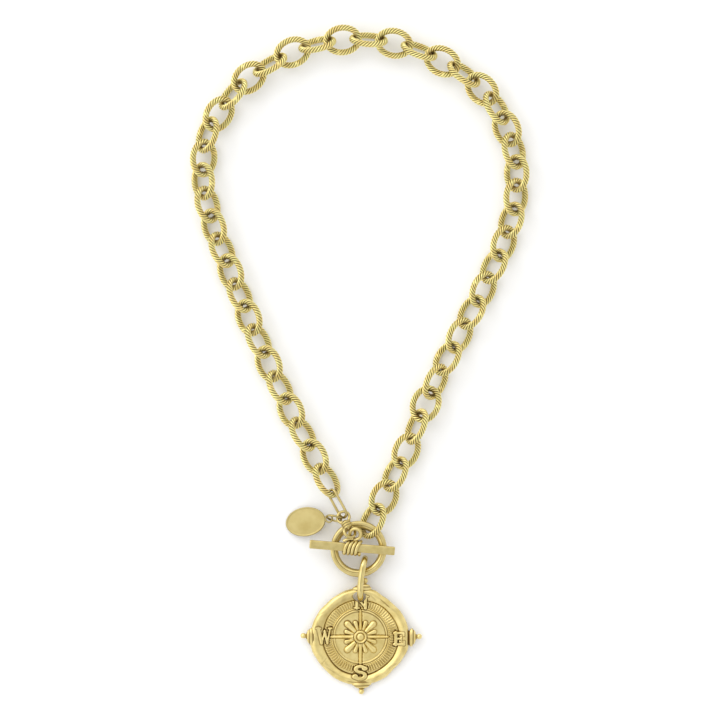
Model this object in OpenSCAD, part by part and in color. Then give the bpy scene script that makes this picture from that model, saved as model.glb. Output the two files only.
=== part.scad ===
// A compass pendant on its cable chain, closed by a toggle clasp and laid flat.
// +Z is up from the surface that the necklace lies on, and +Y runs from the pendant
// to the top of the chain. Lengths are in millimetres and angles in degrees.

/* [Chain] */
// Outside length of one chain link
link_l = 13.95; // [12.5:0.05:15.5]
// Outside width of one chain link
link_w = 11.1; // [10:0.05:12.5]
// Thickness of the rope-textured wire of the links
wire_d = 2.2; // [1.8:0.05:2.4]

/* [Toggle ring] */
// Outside diameter of the ring
ring_d = 20.1; // [18:0.1:23]
// Width of the ring's band, seen from above
band_w = 2.8; // [2.3:0.1:3.2]
// Height of the ring's band
band_h = 2.6; // [2.2:0.1:2.9]

/* [Toggle bar] */
// Length of the bar
bar_l = 30.4; // [27:0.2:34]
// Width of the bar, seen from above
bar_w = 3; // [2.6:0.1:3.4]
// Height of the bar
bar_h = 2.4; // [2:0.1:2.8]
// Thickness of the wire of the coil and of the bar's eye
coil_wire = 1.25; // [1.1:0.05:1.4]
// Turns of the coil round the bar
coil_turns = 4; // [3:1:5]
// Outside diameter of the bar's eye
bar_eye_d = 5.2; // [5.1:0.1:5.6]

/* [Connector] */
// Distance between the middles of the connector's two eyes
connector_l = 5.7; // [5.6:0.1:6.2]
// Outside diameter of each eye
eye_d = 5.3; // [5:0.1:5.8]
// Thickness of the connector's wire
eye_wire = 1.05; // [0.9:0.05:1.2]
// Outside diameter of the wraps
wrap_d = 3.2; // [3:0.1:3.5]
// Number of wraps
wraps = 3; // [2:1:4]

/* [Thin link] */
// Outside length of the thin link
thin_l = 11.9; // [11:0.1:13]
// Outside width of the thin link
thin_w = 4.9; // [4.7:0.1:5.5]
// Thickness of the thin link's wire
thin_wire = 0.95; // [0.8:0.05:1.05]

/* [Tag] */
// Length of the oval of the tag
tag_l = 14.6; // [12:0.1:16]
// Width of the oval of the tag
tag_w = 10.4; // [9:0.1:12]
// Thickness of the tag
tag_t = 0.6; // [0.4:0.05:0.8]
// Outside diameter of the tag's eye
tag_eye_d = 3.1; // [2.9:0.1:3.4]
// Diameter of the hole in the tag's eye
tag_hole_d = 1.85; // [1.8:0.05:2]
// Outside diameter of the tag's jump ring
tag_ring_d = 5.9; // [5.6:0.1:6.4]
// Thickness of the tag's jump ring
tag_wire = 0.75; // [0.6:0.05:0.8]

/* [Bail] */
// Outside length of the bail
bail_l = 16.4; // [15:0.1:18]
// Outside height of the bail, standing on its edge
bail_h = 8.6; // [8.2:0.1:9.4]
// Thickness of the bail's wire
bail_wire = 2.2; // [1.9:0.1:2.3]

/* [Pendant] */
// Mean diameter of the pendant's disc
disc_d = 34.2; // [31:0.2:38]
// Height of the rim above the back
rim_h = 2.5; // [2.2:0.1:2.9]
// Height of the sunk face above the back
face_h = 1.45; // [1.2:0.05:1.7]
// Height of the ring ridge, petals and ticks above the sunk face
relief_h = 0.35; // [0.25:0.05:0.5]
// Width of the rays where they leave the boss
ray_w = 1.8; // [1.4:0.1:2.2]
// Diameter of the ring round the boss
boss_d = 4.7; // [4:0.1:5.4]
// Length of the oval hole for the bail, across the bail
hole_l = 4.8; // [4.4:0.1:5.4]
// Height of the four compass letters
letter_size = 5.2; // [4.6:0.1:5.8]
// Width of the four finials at their base
finial_w = 6.4; // [5.6:0.1:7.2]
// Diameter of the ball on each finial
ball_d = 2.1; // [1.8:0.1:2.3]

/* [Hidden] */
gold = [0.86, 0.78, 0.5];
pale_gold = [0.9, 0.83, 0.58];
warm_gold = [0.8, 0.7, 0.4];
seat = 0.15;          // clearance where one piece lies on another
link_count = 48;
last = link_count - 1;
fine = 32;            // sides of the round wires

// The route of the chain, from its thin-link end round to its ring end. Each row is a link's number
// and its place from the middle of the toggle ring, as shares of the taut pitch of the links.
route = [
  [0, -1.22, 2.58], [3, -2.54, 5.17], [6, -3.75, 7.78], [9, -4.78, 10.34], [11, -5.4, 12.02],
  [13, -5.8, 13.73], [15, -5.64, 15.46], [16, -5.22, 16.24], [17, -4.69, 16.97], [18, -4.09, 17.59],
  [19, -3.31, 18.07], [20, -2.47, 18.54], [22, -0.6, 19], [24, 1.32, 18.88], [26, 3.12, 18.21],
  [28, 4.6, 17.17], [30, 5.53, 15.71], [32, 5.9, 14.04], [34, 5.7, 12.29], [36, 5.05, 10.58],
  [38, 4.22, 8.87], [41, 2.88, 6.29], [43, 2.17, 4.61], [44, 1.79, 3.71], [47, 0.55, 1.1]
];
// How the links lean. Each row is a link's number, the roll of the even links and of the odd ones,
// which is above 0 where the outer side of the loop is up, the yaw of the even ones, and the steepest
// roll nearby, which sets how high the middles of the links are.
lean = [
  [0, 50, -32, 4, 50], [8, 48, -34, 4, 48], [12, 42, -40, 2, 42], [15, 28, -50, 0, 50], [18, 14, -62, 0, 62],
  [22, 8, -66, 0, 66], [26, 10, -64, 0, 64], [29, 22, -52, 0, 52], [32, 40, -40, -2, 42],
  [36, 44, -36, -4, 44],
  [40, 42, -40, -3, 44], [41, 24, -48, 0, 50], [42, 5, 5, 0, 53], [43, -12, 58, 0, 58], [44, -28, 52, 2, 54],
  [45, -25, 48, 2, 48], [47, -20, 46, 0, 45.5]
];

function unit(v) = v / norm(v);
function heading(angle) = [cos(angle), sin(angle), 0];
// A direction on the plan, raised by a pitch
function aim(angle, pitch) = [cos(angle) * cos(pitch), sin(angle) * cos(pitch), sin(pitch)];
function side_of(d) = unit(cross([0, 0, 1], d));
// The sideways direction of a piece that points along d, rolled so that its left side rises
function rolled(d, roll) = side_of(d) * cos(roll) + unit(cross(d, side_of(d))) * sin(roll);
// A frame with its X along d and its Y along the rolled side
function frame_of(c, d, roll) =
  let (x = unit(d), y = rolled(x, roll), z = cross(x, y))
  [[x[0], y[0], z[0], c[0]], [x[1], y[1], z[1], c[1]], [x[2], y[2], z[2], c[2]], [0, 0, 0, 1]];
// The row of a table at or before u, and the value of a column there, in a straight line between rows
function row_at(table, u, i = 0) = i >= len(table) - 2 || table[i + 1][0] > u ? i : row_at(table, u, i + 1);
function column_at(table, u, column) =
  let (i = row_at(table, u), t = (u - table[i][0]) / (table[i + 1][0] - table[i][0]))
  table[i][column] * (1 - t) + table[i + 1][column] * t;

// Chain links
half_l = (link_l - wire_d) / 2;
half_w = (link_w - wire_d) / 2;
taut = link_l - 2 * wire_d;
link_sides = 16;
wire_sides = 6;
function plan_of(i) = [route[i][1], route[i][2]];
function slope_of(i) =
  let (before = max(i - 1, 0), after = min(i + 1, len(route) - 1))
  (plan_of(after) - plan_of(before)) / (route[after][0] - route[before][0]);
function share_at(u) =
  let (i = row_at(route, u), du = route[i + 1][0] - route[i][0], t = (u - route[i][0]) / du)
  plan_of(i) * (2 * pow(t, 3) - 3 * pow(t, 2) + 1) + slope_of(i) * du * (pow(t, 3) - 2 * pow(t, 2) + t)
  + plan_of(i + 1) * (3 * pow(t, 2) - 2 * pow(t, 3)) + slope_of(i + 1) * du * (pow(t, 3) - pow(t, 2));
function end_share(u) = share_at(0) * (1 - u / last) + share_at(last) * u / last;
// Height of the middles of the links, where the steeper ones stand on the surface
function link_z(u) = half_w * sin(column_at(lean, u, 4)) + wire_d / 2;
function link_plan(u) =
  ring_end * u / last + thin_end * (1 - u / last) + (share_at(u) - end_share(u)) * taut;
function link_centre(u) = [link_plan(u)[0], link_plan(u)[1], link_z(u)];
function link_roll(i) = column_at(lean, i, i % 2 == 0 ? 1 : 2);
function link_yaw(i) = column_at(lean, i, 3) * (i % 2 == 0 ? 1 : -1);
function link_way(i) =
  let (d = link_centre(min(i + 1, last)) - link_centre(max(i - 1, 0)), turn = link_yaw(i))
  [d[0] * cos(turn) - d[1] * sin(turn), d[0] * sin(turn) + d[1] * cos(turn), d[2]];
function link_frame(i) = frame_of(link_centre(i), link_way(i), link_roll(i));
function oval_point(angle) = [half_l * cos(angle), half_w * sin(angle), 0];
function oval_out(angle) = unit([half_w * cos(angle), half_l * sin(angle), 0]);

// Toggle ring: its far side rests on the last link, and its near side on the bail
ring_r = (ring_d - band_w) / 2;
hook_at = 63;         // where the last link passes round the ring, from +X
hook_slack = 0.85;
ring_end = heading(hook_at) * (ring_r + half_l - (wire_d + band_w) / 2 - hook_slack);
crossing_rise = 0.55; // how far the last link's lower wire has risen where the ring lies on it
ring_far_z = wire_d + crossing_rise + seat + band_h / 2;
ring_near_z = bail_wire + seat + band_h / 2;
ring_z = (ring_far_z + ring_near_z) / 2;
ring_tilt = asin((ring_far_z - ring_near_z) / (2 * ring_r));

// Bail: stands on its edge round the near side of the ring, and its lower end is in the pendant's hole
bail_way = heading(83.5);
bail_on_ring = heading(-79);
bail_drop = 1.95;     // from the middle of the ring's band to the middle of the bail
bail_reach = (bail_l - bail_wire) / 2;
bail_centre = bail_on_ring * ring_r - bail_way * bail_drop + [0, 0, bail_h / 2];

// Pendant: leans on the lower run of the bail, and its far edge lies on the surface
disc_r = disc_d / 2;
hole_play = 1.6;      // room in the hole for the bend of the bail's wire
hole_w = bail_wire + hole_play;
hole_lag = 0.65;      // from the middle of the bail's wire at its lower end to the middle of the hole
hole_aside = 0.4;     // how far the middle of the hole is to the left of the bail
hole_place = [-0.35, disc_r - 2.65];
hole_plan = bail_centre - bail_way * (bail_reach - hole_lag) - [hole_aside, 0, 0];
// Share of the mean radius at each step of 15 degrees round the outline, from +X
outline = [
  1.015, 1.003, 0.987, 0.961, 0.966, 1.013, 1.02, 1.013, 0.997, 0.987, 1.008, 1.028,
  1.04, 1.048, 1.018, 1.008, 1.018, 1.018, 1.01, 1.003, 0.997, 0.966, 0.987, 1.018
];
// Each row is a share of the radius, a share of the rim's height, and how far it follows the outline
rim_rows = [
  [0.93, 0, 1], [0.985, 0.14, 1], [1, 0.42, 1], [0.98, 0.76, 1], [0.93, 0.96, 0.9],
  [0.86, 1, 0.6], [0.8, 0.86, 0.2]
];
face_share = 0.77;    // the sunk face's radius
rim_steps = 48;
back_share = 0.93;     // radius of the flat back
south_share = outline[18];
rest_y = disc_r * back_share * south_share;
seat_y = hole_place[1] + hole_w / 2;
hole_seat = 0.25;     // clearance between the bail and the upper edge of the hole, which lies on it
lean_angle = asin((bail_wire + hole_seat) / (rest_y + seat_y));
lean_z = rest_y * sin(lean_angle);
pendant_plan = [hole_plan[0] - hole_place[0], hole_plan[1] - hole_place[1] * cos(lean_angle), 0];
// Each row is the direction of a finial's root, that of its ball and the share of the radius at the ball
finials = [[89.5, 85.3, 1.18], [-1.2, 0.3, 1.225], [272, 271, 1.15], [180.6, 178.9, 1.192]];
// Profile of a finial from its root to its neck: share of the disc's radius inwards from the ball,
// and share of its width
finial_rows = [
  [0.25, 0.38], [0.205, 0.5], [0.178, 0.5], [0.17, 0.42], [0.162, 0.46], [0.138, 0.44], [0.11, 0.36],
  [0.08, 0.23], [0.06, 0.13], [0, 0.1]
];
finial_flat = 0.62;   // how thick a finial is for its width, where it is thin
finial_press = 0.48;  // how much flatter it is where it is wide
finial_rise = 0.6;    // share of the rim's height at the middles of the finials
// Each row is a ray's direction and its share of the radius, for its broad part and for its tip
rays = [[90, 0.4, 0.6], [0, 0.36, 0.58], [270, 0.42, 0.7], [180, 0.4, 0.67]];
petal_h = 0.75;       // height of a petal above the sunk face
petals_mid = 0.43;
petals_side = 0.37;
petal_spread = 20;
// The two ridges and the ticks: share of the radius inside and outside, share of the relief's height
ridge_rows = [[0.535, 0.565, 1], [0.583, 0.601, 0.8]];
tick_row = [0.61, 0.758, 0.6];
tick_count = 82;
tick_share = 0.5;     // how much of the pitch of the ticks is metal

// Toggle bar: lies across the ring, with its coil in the ring's opening
bar_way = heading(-4.7);
bar_place = [-2.3, 0.6];
bar_centre = [bar_place[0], bar_place[1], ring_z + (band_h + bar_h) / 2 + seat * 2];
coil_r = (bar_w + coil_wire) / 2 + 0.2;
coil_pitch = coil_wire + 0.06;
bar_eye_r = (bar_eye_d - coil_wire) / 2;
bar_eye_roll = -10;
bar_eye_way = aim(86, 17);
bar_eye_c = bar_centre + bar_way * 0.75 + bar_eye_way * (coil_r + (bar_eye_d + coil_wire) / 2 - 0.4);

// Connector: slopes down over the ring, from the bar's eye to the thin link
eye_r = (eye_d - eye_wire) / 2;
connector_way = aim(114, -16);
connector_low = bar_eye_c + [-bar_eye_r, 0.85, 0.2];
connector_up = connector_low + connector_way * connector_l;
wraps_share = 0.58;   // where the middle of the wraps is along the connector
low_eye_roll = 32;
up_eye_roll = -1;

// Thin link, between the connector's upper eye and the first link of the chain
thin_reach = (thin_l - thin_wire) / 2;
thin_side = (thin_w - thin_wire) / 2;
thin_slack = 1.2;
thin_end_slack = 0.57;
thin_roll = -48;
thin_from = connector_up + aim(104.4, -9) * eye_r;
thin_way = aim(118.9, -7.5);
thin_centre = thin_from + thin_way * (thin_reach - (thin_wire + eye_wire) / 2 - thin_slack);
thin_end = thin_centre + heading(115.5) * (thin_reach + half_l - (thin_wire + wire_d) / 2 - thin_end_slack);

// Tag and its jump ring, on the left side of the connector's upper eye
tag_ring_r = (tag_ring_d - tag_wire) / 2;
tag_slack = 0.4;
tag_ring_c = connector_up + aim(186, -15) * (eye_r + tag_ring_r - (tag_wire + eye_wire) / 2 - tag_slack);
tag_drop = aim(186, -42);
tag_ring_roll = -61;
tag_hole = tag_ring_c + tag_drop * tag_ring_r;
tag_neck = tag_eye_d * 0.43;
tag_reach = tag_neck + tag_l;
tag_slope = asin((tag_hole[2] - tag_t * 0.6) / (tag_reach + tag_eye_d * 0.3));
tag_way = aim(188, -tag_slope);
tag_roll = 8;

// The middle of the whole necklace's outline goes to the origin
function link_edge(i, axis, way) =
  let (m = link_frame(i))
  way * (max([for (k = [0 : 23]) let (p = m * concat(oval_point(15 * k), [1])) p[axis] * way]) + wire_d / 2);
west_edge = min([for (i = [0 : last]) link_edge(i, 0, -1)]);
east_edge = max([for (i = [0 : last]) link_edge(i, 0, 1)]);
north_edge = max([for (i = [0 : last]) link_edge(i, 1, 1)]);
south_edge = pendant_plan[1] - disc_r * finials[2][2] * cos(lean_angle) - ball_d / 2;
to_origin = [-(west_edge + east_edge) / 2, -(north_edge + south_edge) / 2, 0];

// Points of the tube of one link, ring after ring
function link_points(m) = [
  for (i = [0 : link_sides - 1])
    for (j = [0 : wire_sides - 1])
      let (angle = 360 * i / link_sides, turn = 360 * j / wire_sides,
           p = oval_point(angle) + (oval_out(angle) * cos(turn) + [0, 0, sin(turn)]) * wire_d / 2,
           q = m * [p[0], p[1], p[2], 1])
      [q[0], q[1], q[2]]
];
function tube_faces(rings, sides) = [
  for (i = [0 : rings - 1])
    for (j = [0 : sides - 1])
      let (ni = (i + 1) % rings, nj = (j + 1) % sides)
      each [
        [i * sides + j, ni * sides + nj, ni * sides + j],
        [i * sides + j, i * sides + nj, ni * sides + nj]
      ]
];

// A round wire bent into a full circle
module wire_circle(radius, wire) {
  rotate_extrude($fn = 2 * fine) translate([radius, 0]) circle(d = wire, $fn = fine);
}

// A wire bent into a long oval with straight sides, along X
module wire_oval(reach, side, wire) {
  straight = reach - side;
  for (end = [0, 180])
    rotate([0, 0, end]) {
      translate([straight, 0, 0])
        rotate([0, 0, -90])
          rotate_extrude(angle = 180, $fn = 2 * fine) translate([side, 0]) circle(d = wire, $fn = fine);
      translate([-straight, side, 0]) rotate([0, 90, 0]) cylinder(d = wire, h = 2 * straight, $fn = fine);
    }
}

// Turns of wire close together along X, with the core that they are wound on
module wound(radius, wire, turns, pitch) {
  length = (turns - 1) * pitch;
  rotate([0, 90, 0])
    rotate_extrude($fn = 48)
      union() {
        for (i = [0 : turns - 1])
          translate([radius, i * pitch - length / 2]) circle(d = wire, $fn = fine);
        translate([0, -length / 2]) square([radius, length]);
      }
}

module cable_chain() {
  color(gold)
    translate(to_origin)
      for (i = [0 : last])
        polyhedron(link_points(link_frame(i)), tube_faces(link_sides, wire_sides));
}

// Half of the ring's band: a flat face above, a bevel each side of it and a rounded back
module band_profile() {
  flat = band_w * 0.24;
  intersection() {
    union() {
      scale([band_w / band_h, 1]) circle(d = band_h, $fn = 48);
      polygon([[-band_w / 2, 0], [band_w / 2, 0], [flat, band_h / 2], [-flat, band_h / 2]]);
    }
    translate([-band_w, -band_h]) square([2 * band_w, 2 * band_h]);
  }
}

module toggle_ring() {
  color(gold)
    translate(to_origin + [0, 0, ring_z])
      rotate([ring_tilt, 0, 0])
        rotate_extrude($fn = 96) translate([ring_r, 0]) band_profile();
}

module toggle_bar() {
  color(pale_gold)
    translate(to_origin) {
      multmatrix(frame_of(bar_centre, bar_way, 0)) {
        translate([-bar_l / 2, -bar_w / 2, -bar_h / 2]) cube([bar_l, bar_w, bar_h]);
        wound(coil_r, coil_wire, coil_turns, coil_pitch);
      }
      multmatrix(frame_of(bar_eye_c, bar_eye_way, bar_eye_roll)) {
        wire_circle(bar_eye_r, coil_wire);
        translate([-bar_eye_r - coil_wire, 0, 0])
          rotate([0, 90, 0]) cylinder(d = coil_wire, h = coil_wire, $fn = fine);
      }
    }
}

module connector() {
  middle = connector_low * (1 - wraps_share) + connector_up * wraps_share;
  color(warm_gold)
    translate(to_origin) {
      multmatrix(frame_of(connector_low, connector_way, low_eye_roll)) wire_circle(eye_r, eye_wire);
      multmatrix(frame_of(connector_up, connector_way, up_eye_roll)) wire_circle(eye_r, eye_wire);
      multmatrix(frame_of(middle, connector_way, 0))
        wound((wrap_d - eye_wire) / 2, eye_wire, wraps, eye_wire + 0.02);
    }
}

module thin_link() {
  color(warm_gold)
    translate(to_origin)
      multmatrix(frame_of(thin_centre, thin_way, thin_roll)) wire_oval(thin_reach, thin_side, thin_wire);
}

module bail_ring() {
  color(gold)
    translate(to_origin)
      multmatrix(frame_of(bail_centre, bail_way, 90))
        wire_oval(bail_reach, (bail_h - bail_wire) / 2, bail_wire);
}

module tag_ring() {
  color(warm_gold)
    translate(to_origin)
      multmatrix(frame_of(tag_ring_c, tag_drop, tag_ring_roll)) wire_circle(tag_ring_r, tag_wire);
}

module oval_tag() {
  color(pale_gold)
    translate(to_origin)
      multmatrix(frame_of(tag_hole, tag_way, tag_roll))
        translate([0, 0, -tag_t / 2])
          difference() {
            linear_extrude(tag_t)
              union() {
                circle(d = tag_eye_d, $fn = 48);
                translate([tag_neck + tag_l / 2, 0]) scale([1, tag_w / tag_l]) circle(d = tag_l, $fn = 72);
              }
            translate([0, 0, -tag_t]) cylinder(d = tag_hole_d, h = 3 * tag_t, $fn = 48);
          }
}

// Faces of a closed skin over rings of points, each ring anticlockwise seen from its start
function skin_faces(rings, sides) = concat(
  [[for (k = [0 : sides - 1]) k]],
  [for (i = [0 : rings - 2])
     for (k = [0 : sides - 1])
       let (n = (k + 1) % sides, a = i * sides, b = a + sides)
       each [[a + k, b + k, b + n], [a + k, b + n, a + n]]],
  [[for (k = [0 : sides - 1]) rings * sides - 1 - k]]
);

// Pendant
function outline_at(angle) =
  let (count = len(outline), u = angle * count / 360, i = floor(u), t = (1 - cos(180 * (u - i))) / 2)
  outline[i % count] * (1 - t) + outline[(i + 1) % count] * t;
function disc_ring(row) = [
  for (k = [0 : rim_steps - 1])
    let (angle = 360 * k / rim_steps, r = disc_r * row[0] * (1 + (outline_at(angle) - 1) * row[2]))
    [r * cos(angle), r * sin(angle), row[1] * rim_h]
];
disc_rows = concat(rim_rows, [[face_share, face_h / rim_h, 0]]);
disc_points = concat(
  [for (row = disc_rows) each disc_ring(row)],
  [[0, 0, 0], [0, 0, face_h]]
);
disc_faces = concat(
  [for (i = [0 : len(disc_rows) - 2])
     for (k = [0 : rim_steps - 1])
       let (n = (k + 1) % rim_steps, a = i * rim_steps, b = a + rim_steps)
       each [[a + k, b + k, b + n], [a + k, b + n, a + n]]],
  [for (k = [0 : rim_steps - 1]) [len(disc_points) - 2, k, (k + 1) % rim_steps]],
  [for (k = [0 : rim_steps - 1])
     let (a = (len(disc_rows) - 1) * rim_steps)
     [len(disc_points) - 1, a + (k + 1) % rim_steps, a + k]]
);

// A round ridge that lies in the face along +X, from one radius to another, tapered between two widths
module spike(from, to, width_from, width_to) {
  translate([from, 0, face_h])
    rotate([0, 90, 0]) cylinder(d1 = width_from, d2 = width_to, h = to - from, $fn = fine);
}

// A leaf shape on the face along +X: a low arch over an oval plan, with its root under the boss
module petal(reach, width) {
  root = boss_d / 2 * 0.8;
  length = reach - root;
  shares = [0, 0.12, 0.3, 0.5, 0.7, 0.88, 1];
  spans = [for (t = shares) max(0.12, sqrt(1 - pow(2 * t - 1, 2)))];
  arch = [[0.5, 0], [0.38, 0.65], [0, 1], [-0.38, 0.65], [-0.5, 0]];
  depth = 0.3;
  points = [
    for (i = [0 : len(shares) - 1])
      each concat(
        [for (a = arch)
          [root + length * shares[i], a[0] * width * spans[i], face_h + a[1] * petal_h * spans[i]]],
        [for (y = [-0.5, 0.5]) [root + length * shares[i], y * width * spans[i], face_h - depth]]
      )
  ];
  sides = len(arch) + 2;
  count = len(shares);
  polyhedron(points, skin_faces(count, sides));
}

module rose() {
  for (ray = rays)
    rotate([0, 0, ray[0]]) {
      spike(boss_d * 0.22, ray[1] * disc_r, ray_w, ray_w * 0.6);
      spike(ray[1] * disc_r - ray_w * 0.2, ray[2] * disc_r, ray_w * 0.52, ray_w * 0.3);
    }
  for (quarter = [45 : 90 : 315]) {
    rotate([0, 0, quarter]) petal(petals_mid * disc_r, ray_w);
    for (way = [-1, 1])
      rotate([0, 0, quarter + way * petal_spread]) petal(petals_side * disc_r, ray_w * 0.8);
  }
  translate([0, 0, face_h - relief_h]) {
    cylinder(d = boss_d, h = 2.7 * relief_h, $fn = 64);
  }
  boss_top = face_h + 1.7 * relief_h;
  dome = boss_d * 0.34;
  translate([0, 0, boss_top - dome * 0.55]) sphere(dome, $fn = 64);
}

module ridges() {
  translate([0, 0, face_h - relief_h])
    rotate_extrude($fn = 96)
      union() {
        for (row = ridge_rows)
          translate([row[0] * disc_r, 0]) square([(row[1] - row[0]) * disc_r, (1 + row[2]) * relief_h]);
      }
}

module ticks() {
  width = 2 * PI * tick_row[0] * disc_r / tick_count * tick_share;
  translate([0, 0, face_h - relief_h])
    linear_extrude((1 + tick_row[2]) * relief_h)
      for (i = [0 : tick_count - 1])
        rotate([0, 0, 360 * i / tick_count])
          translate([tick_row[0] * disc_r, -width / 2]) square([(tick_row[1] - tick_row[0]) * disc_r, width]);
}

// Flat letters of a plain serif cut, in a box of 1 by 1 about the origin
module stroke(from, to, width) {
  d = to - from;
  translate(from)
    rotate([0, 0, atan2(d[1], d[0])]) translate([0, -width / 2]) square([norm(d), width]);
}

module serif(place) {
  translate(place) translate([-0.17, -0.05]) square([0.34, 0.1]);
}

module letter_n() {
  stroke([-0.32, -0.5], [-0.32, 0.5], 0.17);
  stroke([0.32, -0.5], [0.32, 0.5], 0.17);
  stroke([-0.36, 0.48], [0.34, -0.48], 0.19);
  for (place = [[-0.34, -0.45], [-0.38, 0.45], [0.34, 0.45]]) serif(place);
}

module letter_e() {
  stroke([-0.28, -0.5], [-0.28, 0.5], 0.2);
  for (y = [-0.42, 0, 0.42]) stroke([-0.4, y], [y == 0 ? 0.2 : 0.34, y], 0.15);
  for (y = [-0.36, 0.36]) stroke([0.34, y - 0.12], [0.34, y + 0.12], 0.12);
}

module letter_s() {
  difference() {
    union() {
      translate([0, 0.24]) circle(0.3, $fn = 32);
      translate([0, -0.23]) circle(0.32, $fn = 32);
    }
    translate([0, 0.24]) circle(0.13, $fn = 32);
    translate([0, -0.23]) circle(0.14, $fn = 32);
    translate([0.02, 0.06]) square([0.4, 0.17]);
    translate([-0.42, -0.22]) square([0.4, 0.16]);
  }
  for (place = [[0.26, 0.26], [-0.28, -0.27]]) translate(place) circle(0.1, $fn = 24);
}

module letter_w() {
  stroke([-0.46, 0.46], [-0.2, -0.48], 0.16);
  stroke([-0.2, -0.48], [0, 0.3], 0.13);
  stroke([0, 0.3], [0.2, -0.48], 0.16);
  stroke([0.2, -0.48], [0.46, 0.46], 0.13);
  for (place = [[-0.46, 0.45], [0.46, 0.45]]) serif(place);
}

module letter_at(place) {
  translate([place[0], place[1], face_h - relief_h])
    linear_extrude(rim_h - face_h + 1.5 * relief_h) scale(letter_size) children();
}

module letters() {
  letter_at([-0.005, 0.727] * disc_r) scale([1, 0.88]) letter_n();
  letter_at([0.79, -0.03] * disc_r) letter_e();
  letter_at([-0.01, -0.745] * disc_r) scale([1.15, 1.05]) letter_s();
  letter_at([-0.75, 0.03] * disc_r) scale([1, 1.15]) letter_w();
}

// A finial points along +X and bends sideways: a flattened button and neck, and a ball
module finial(reach, bend) {
  sides = 16;
  root = finial_rows[0][0];
  points = [for (row = finial_rows)
    for (k = [0 : sides - 1])
      let (angle = 360 * k / sides, r = row[1] * finial_w, aside = bend * (1 - row[0] / root))
      [
        reach - row[0] * disc_r,
        aside + r * cos(angle),
        r * sin(angle) * (finial_flat - row[1] * finial_press)
      ]];
  translate([0, 0, rim_h * finial_rise]) {
    polyhedron(points, skin_faces(len(finial_rows), sides));
    translate([reach, bend, 0]) sphere(d = ball_d, $fn = 48);
  }
}

module compass_pendant() {
  color(gold)
    translate(to_origin + pendant_plan + [0, 0, lean_z])
      rotate([lean_angle, 0, 0])
        difference() {
          union() {
            polyhedron(disc_points, disc_faces);
            rose();
            ridges();
            ticks();
            letters();
            for (row = finials)
              rotate([0, 0, row[0]])
                finial(row[2] * disc_r * cos(row[1] - row[0]), row[2] * disc_r * sin(row[1] - row[0]));
          }
          translate([hole_place[0], hole_place[1], -rim_h])
            linear_extrude(3 * rim_h) scale([1, hole_w / hole_l]) circle(d = hole_l, $fn = 48);
        }
}

compass_pendant();
bail_ring();
toggle_ring();
toggle_bar();
connector();
thin_link();
cable_chain();
oval_tag();
tag_ring();
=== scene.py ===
import math

import bpy
import numpy as np
from bpy.props import FloatProperty, FloatVectorProperty, IntProperty, PointerProperty
from mathutils import Matrix, Vector


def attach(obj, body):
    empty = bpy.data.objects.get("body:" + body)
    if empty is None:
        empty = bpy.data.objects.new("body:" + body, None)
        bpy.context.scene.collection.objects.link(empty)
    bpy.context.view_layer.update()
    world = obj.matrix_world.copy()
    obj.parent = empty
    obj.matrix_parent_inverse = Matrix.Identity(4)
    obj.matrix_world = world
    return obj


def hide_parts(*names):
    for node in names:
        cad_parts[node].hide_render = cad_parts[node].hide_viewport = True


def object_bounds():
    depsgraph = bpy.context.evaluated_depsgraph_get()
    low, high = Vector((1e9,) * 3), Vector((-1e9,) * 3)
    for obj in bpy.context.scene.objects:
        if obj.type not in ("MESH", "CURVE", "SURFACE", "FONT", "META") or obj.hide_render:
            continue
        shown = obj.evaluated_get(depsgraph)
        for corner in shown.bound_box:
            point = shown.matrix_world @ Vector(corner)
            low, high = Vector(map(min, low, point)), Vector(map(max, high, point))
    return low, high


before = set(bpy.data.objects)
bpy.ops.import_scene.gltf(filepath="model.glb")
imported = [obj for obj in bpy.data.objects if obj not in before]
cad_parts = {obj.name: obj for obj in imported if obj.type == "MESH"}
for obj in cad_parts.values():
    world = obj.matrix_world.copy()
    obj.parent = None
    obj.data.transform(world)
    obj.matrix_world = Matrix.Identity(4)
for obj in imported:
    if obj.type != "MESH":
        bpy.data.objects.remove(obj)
CAD_BOX = [list(corner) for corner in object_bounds()]

bl_info = {
    "name": "Compass Pendant Necklace",
    "version": (1, 0, 0),
    "blender": (4, 5, 0),
    "location": "View3D > Sidebar > Necklace",
    "description": "Dresses a compass pendant, its rope-wire chain and its toggle clasp in satin gold",
    "category": "Add Mesh",
}

BODY = "root"
MM = 0.001
FULL_TURN = 2 * math.pi


# Settings

class ChainSettings(bpy.types.PropertyGroup):
    """Sizes of the rope-textured links"""
    wire: FloatProperty(name="Wire", description="Thickness of the twisted wire",
                        default=2.3 * MM, unit="LENGTH")
    length: FloatProperty(name="Link length", description="Outside length of a link",
                          default=13.95 * MM, unit="LENGTH")
    width: FloatProperty(name="Link width", description="Outside width of a link",
                         default=11.1 * MM, unit="LENGTH")
    groove: FloatProperty(name="Groove", description="Depth of the grooves between the strands",
                          default=0.42 * MM, unit="LENGTH")
    # Painted shade: how dark the inside of a link is painted where two links meet
    nook: FloatProperty(name="Nook", description="How dark the inner side is where two links meet",
                        default=0.85, min=0, max=1)
    strands: IntProperty(name="Strands", description="Strands that the wire is twisted from",
                         default=5, min=4, max=12)
    stripes: IntProperty(name="Stripes", description="Strands that cross the top of a link on one way round",
                         default=30, min=16, max=60)


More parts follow.
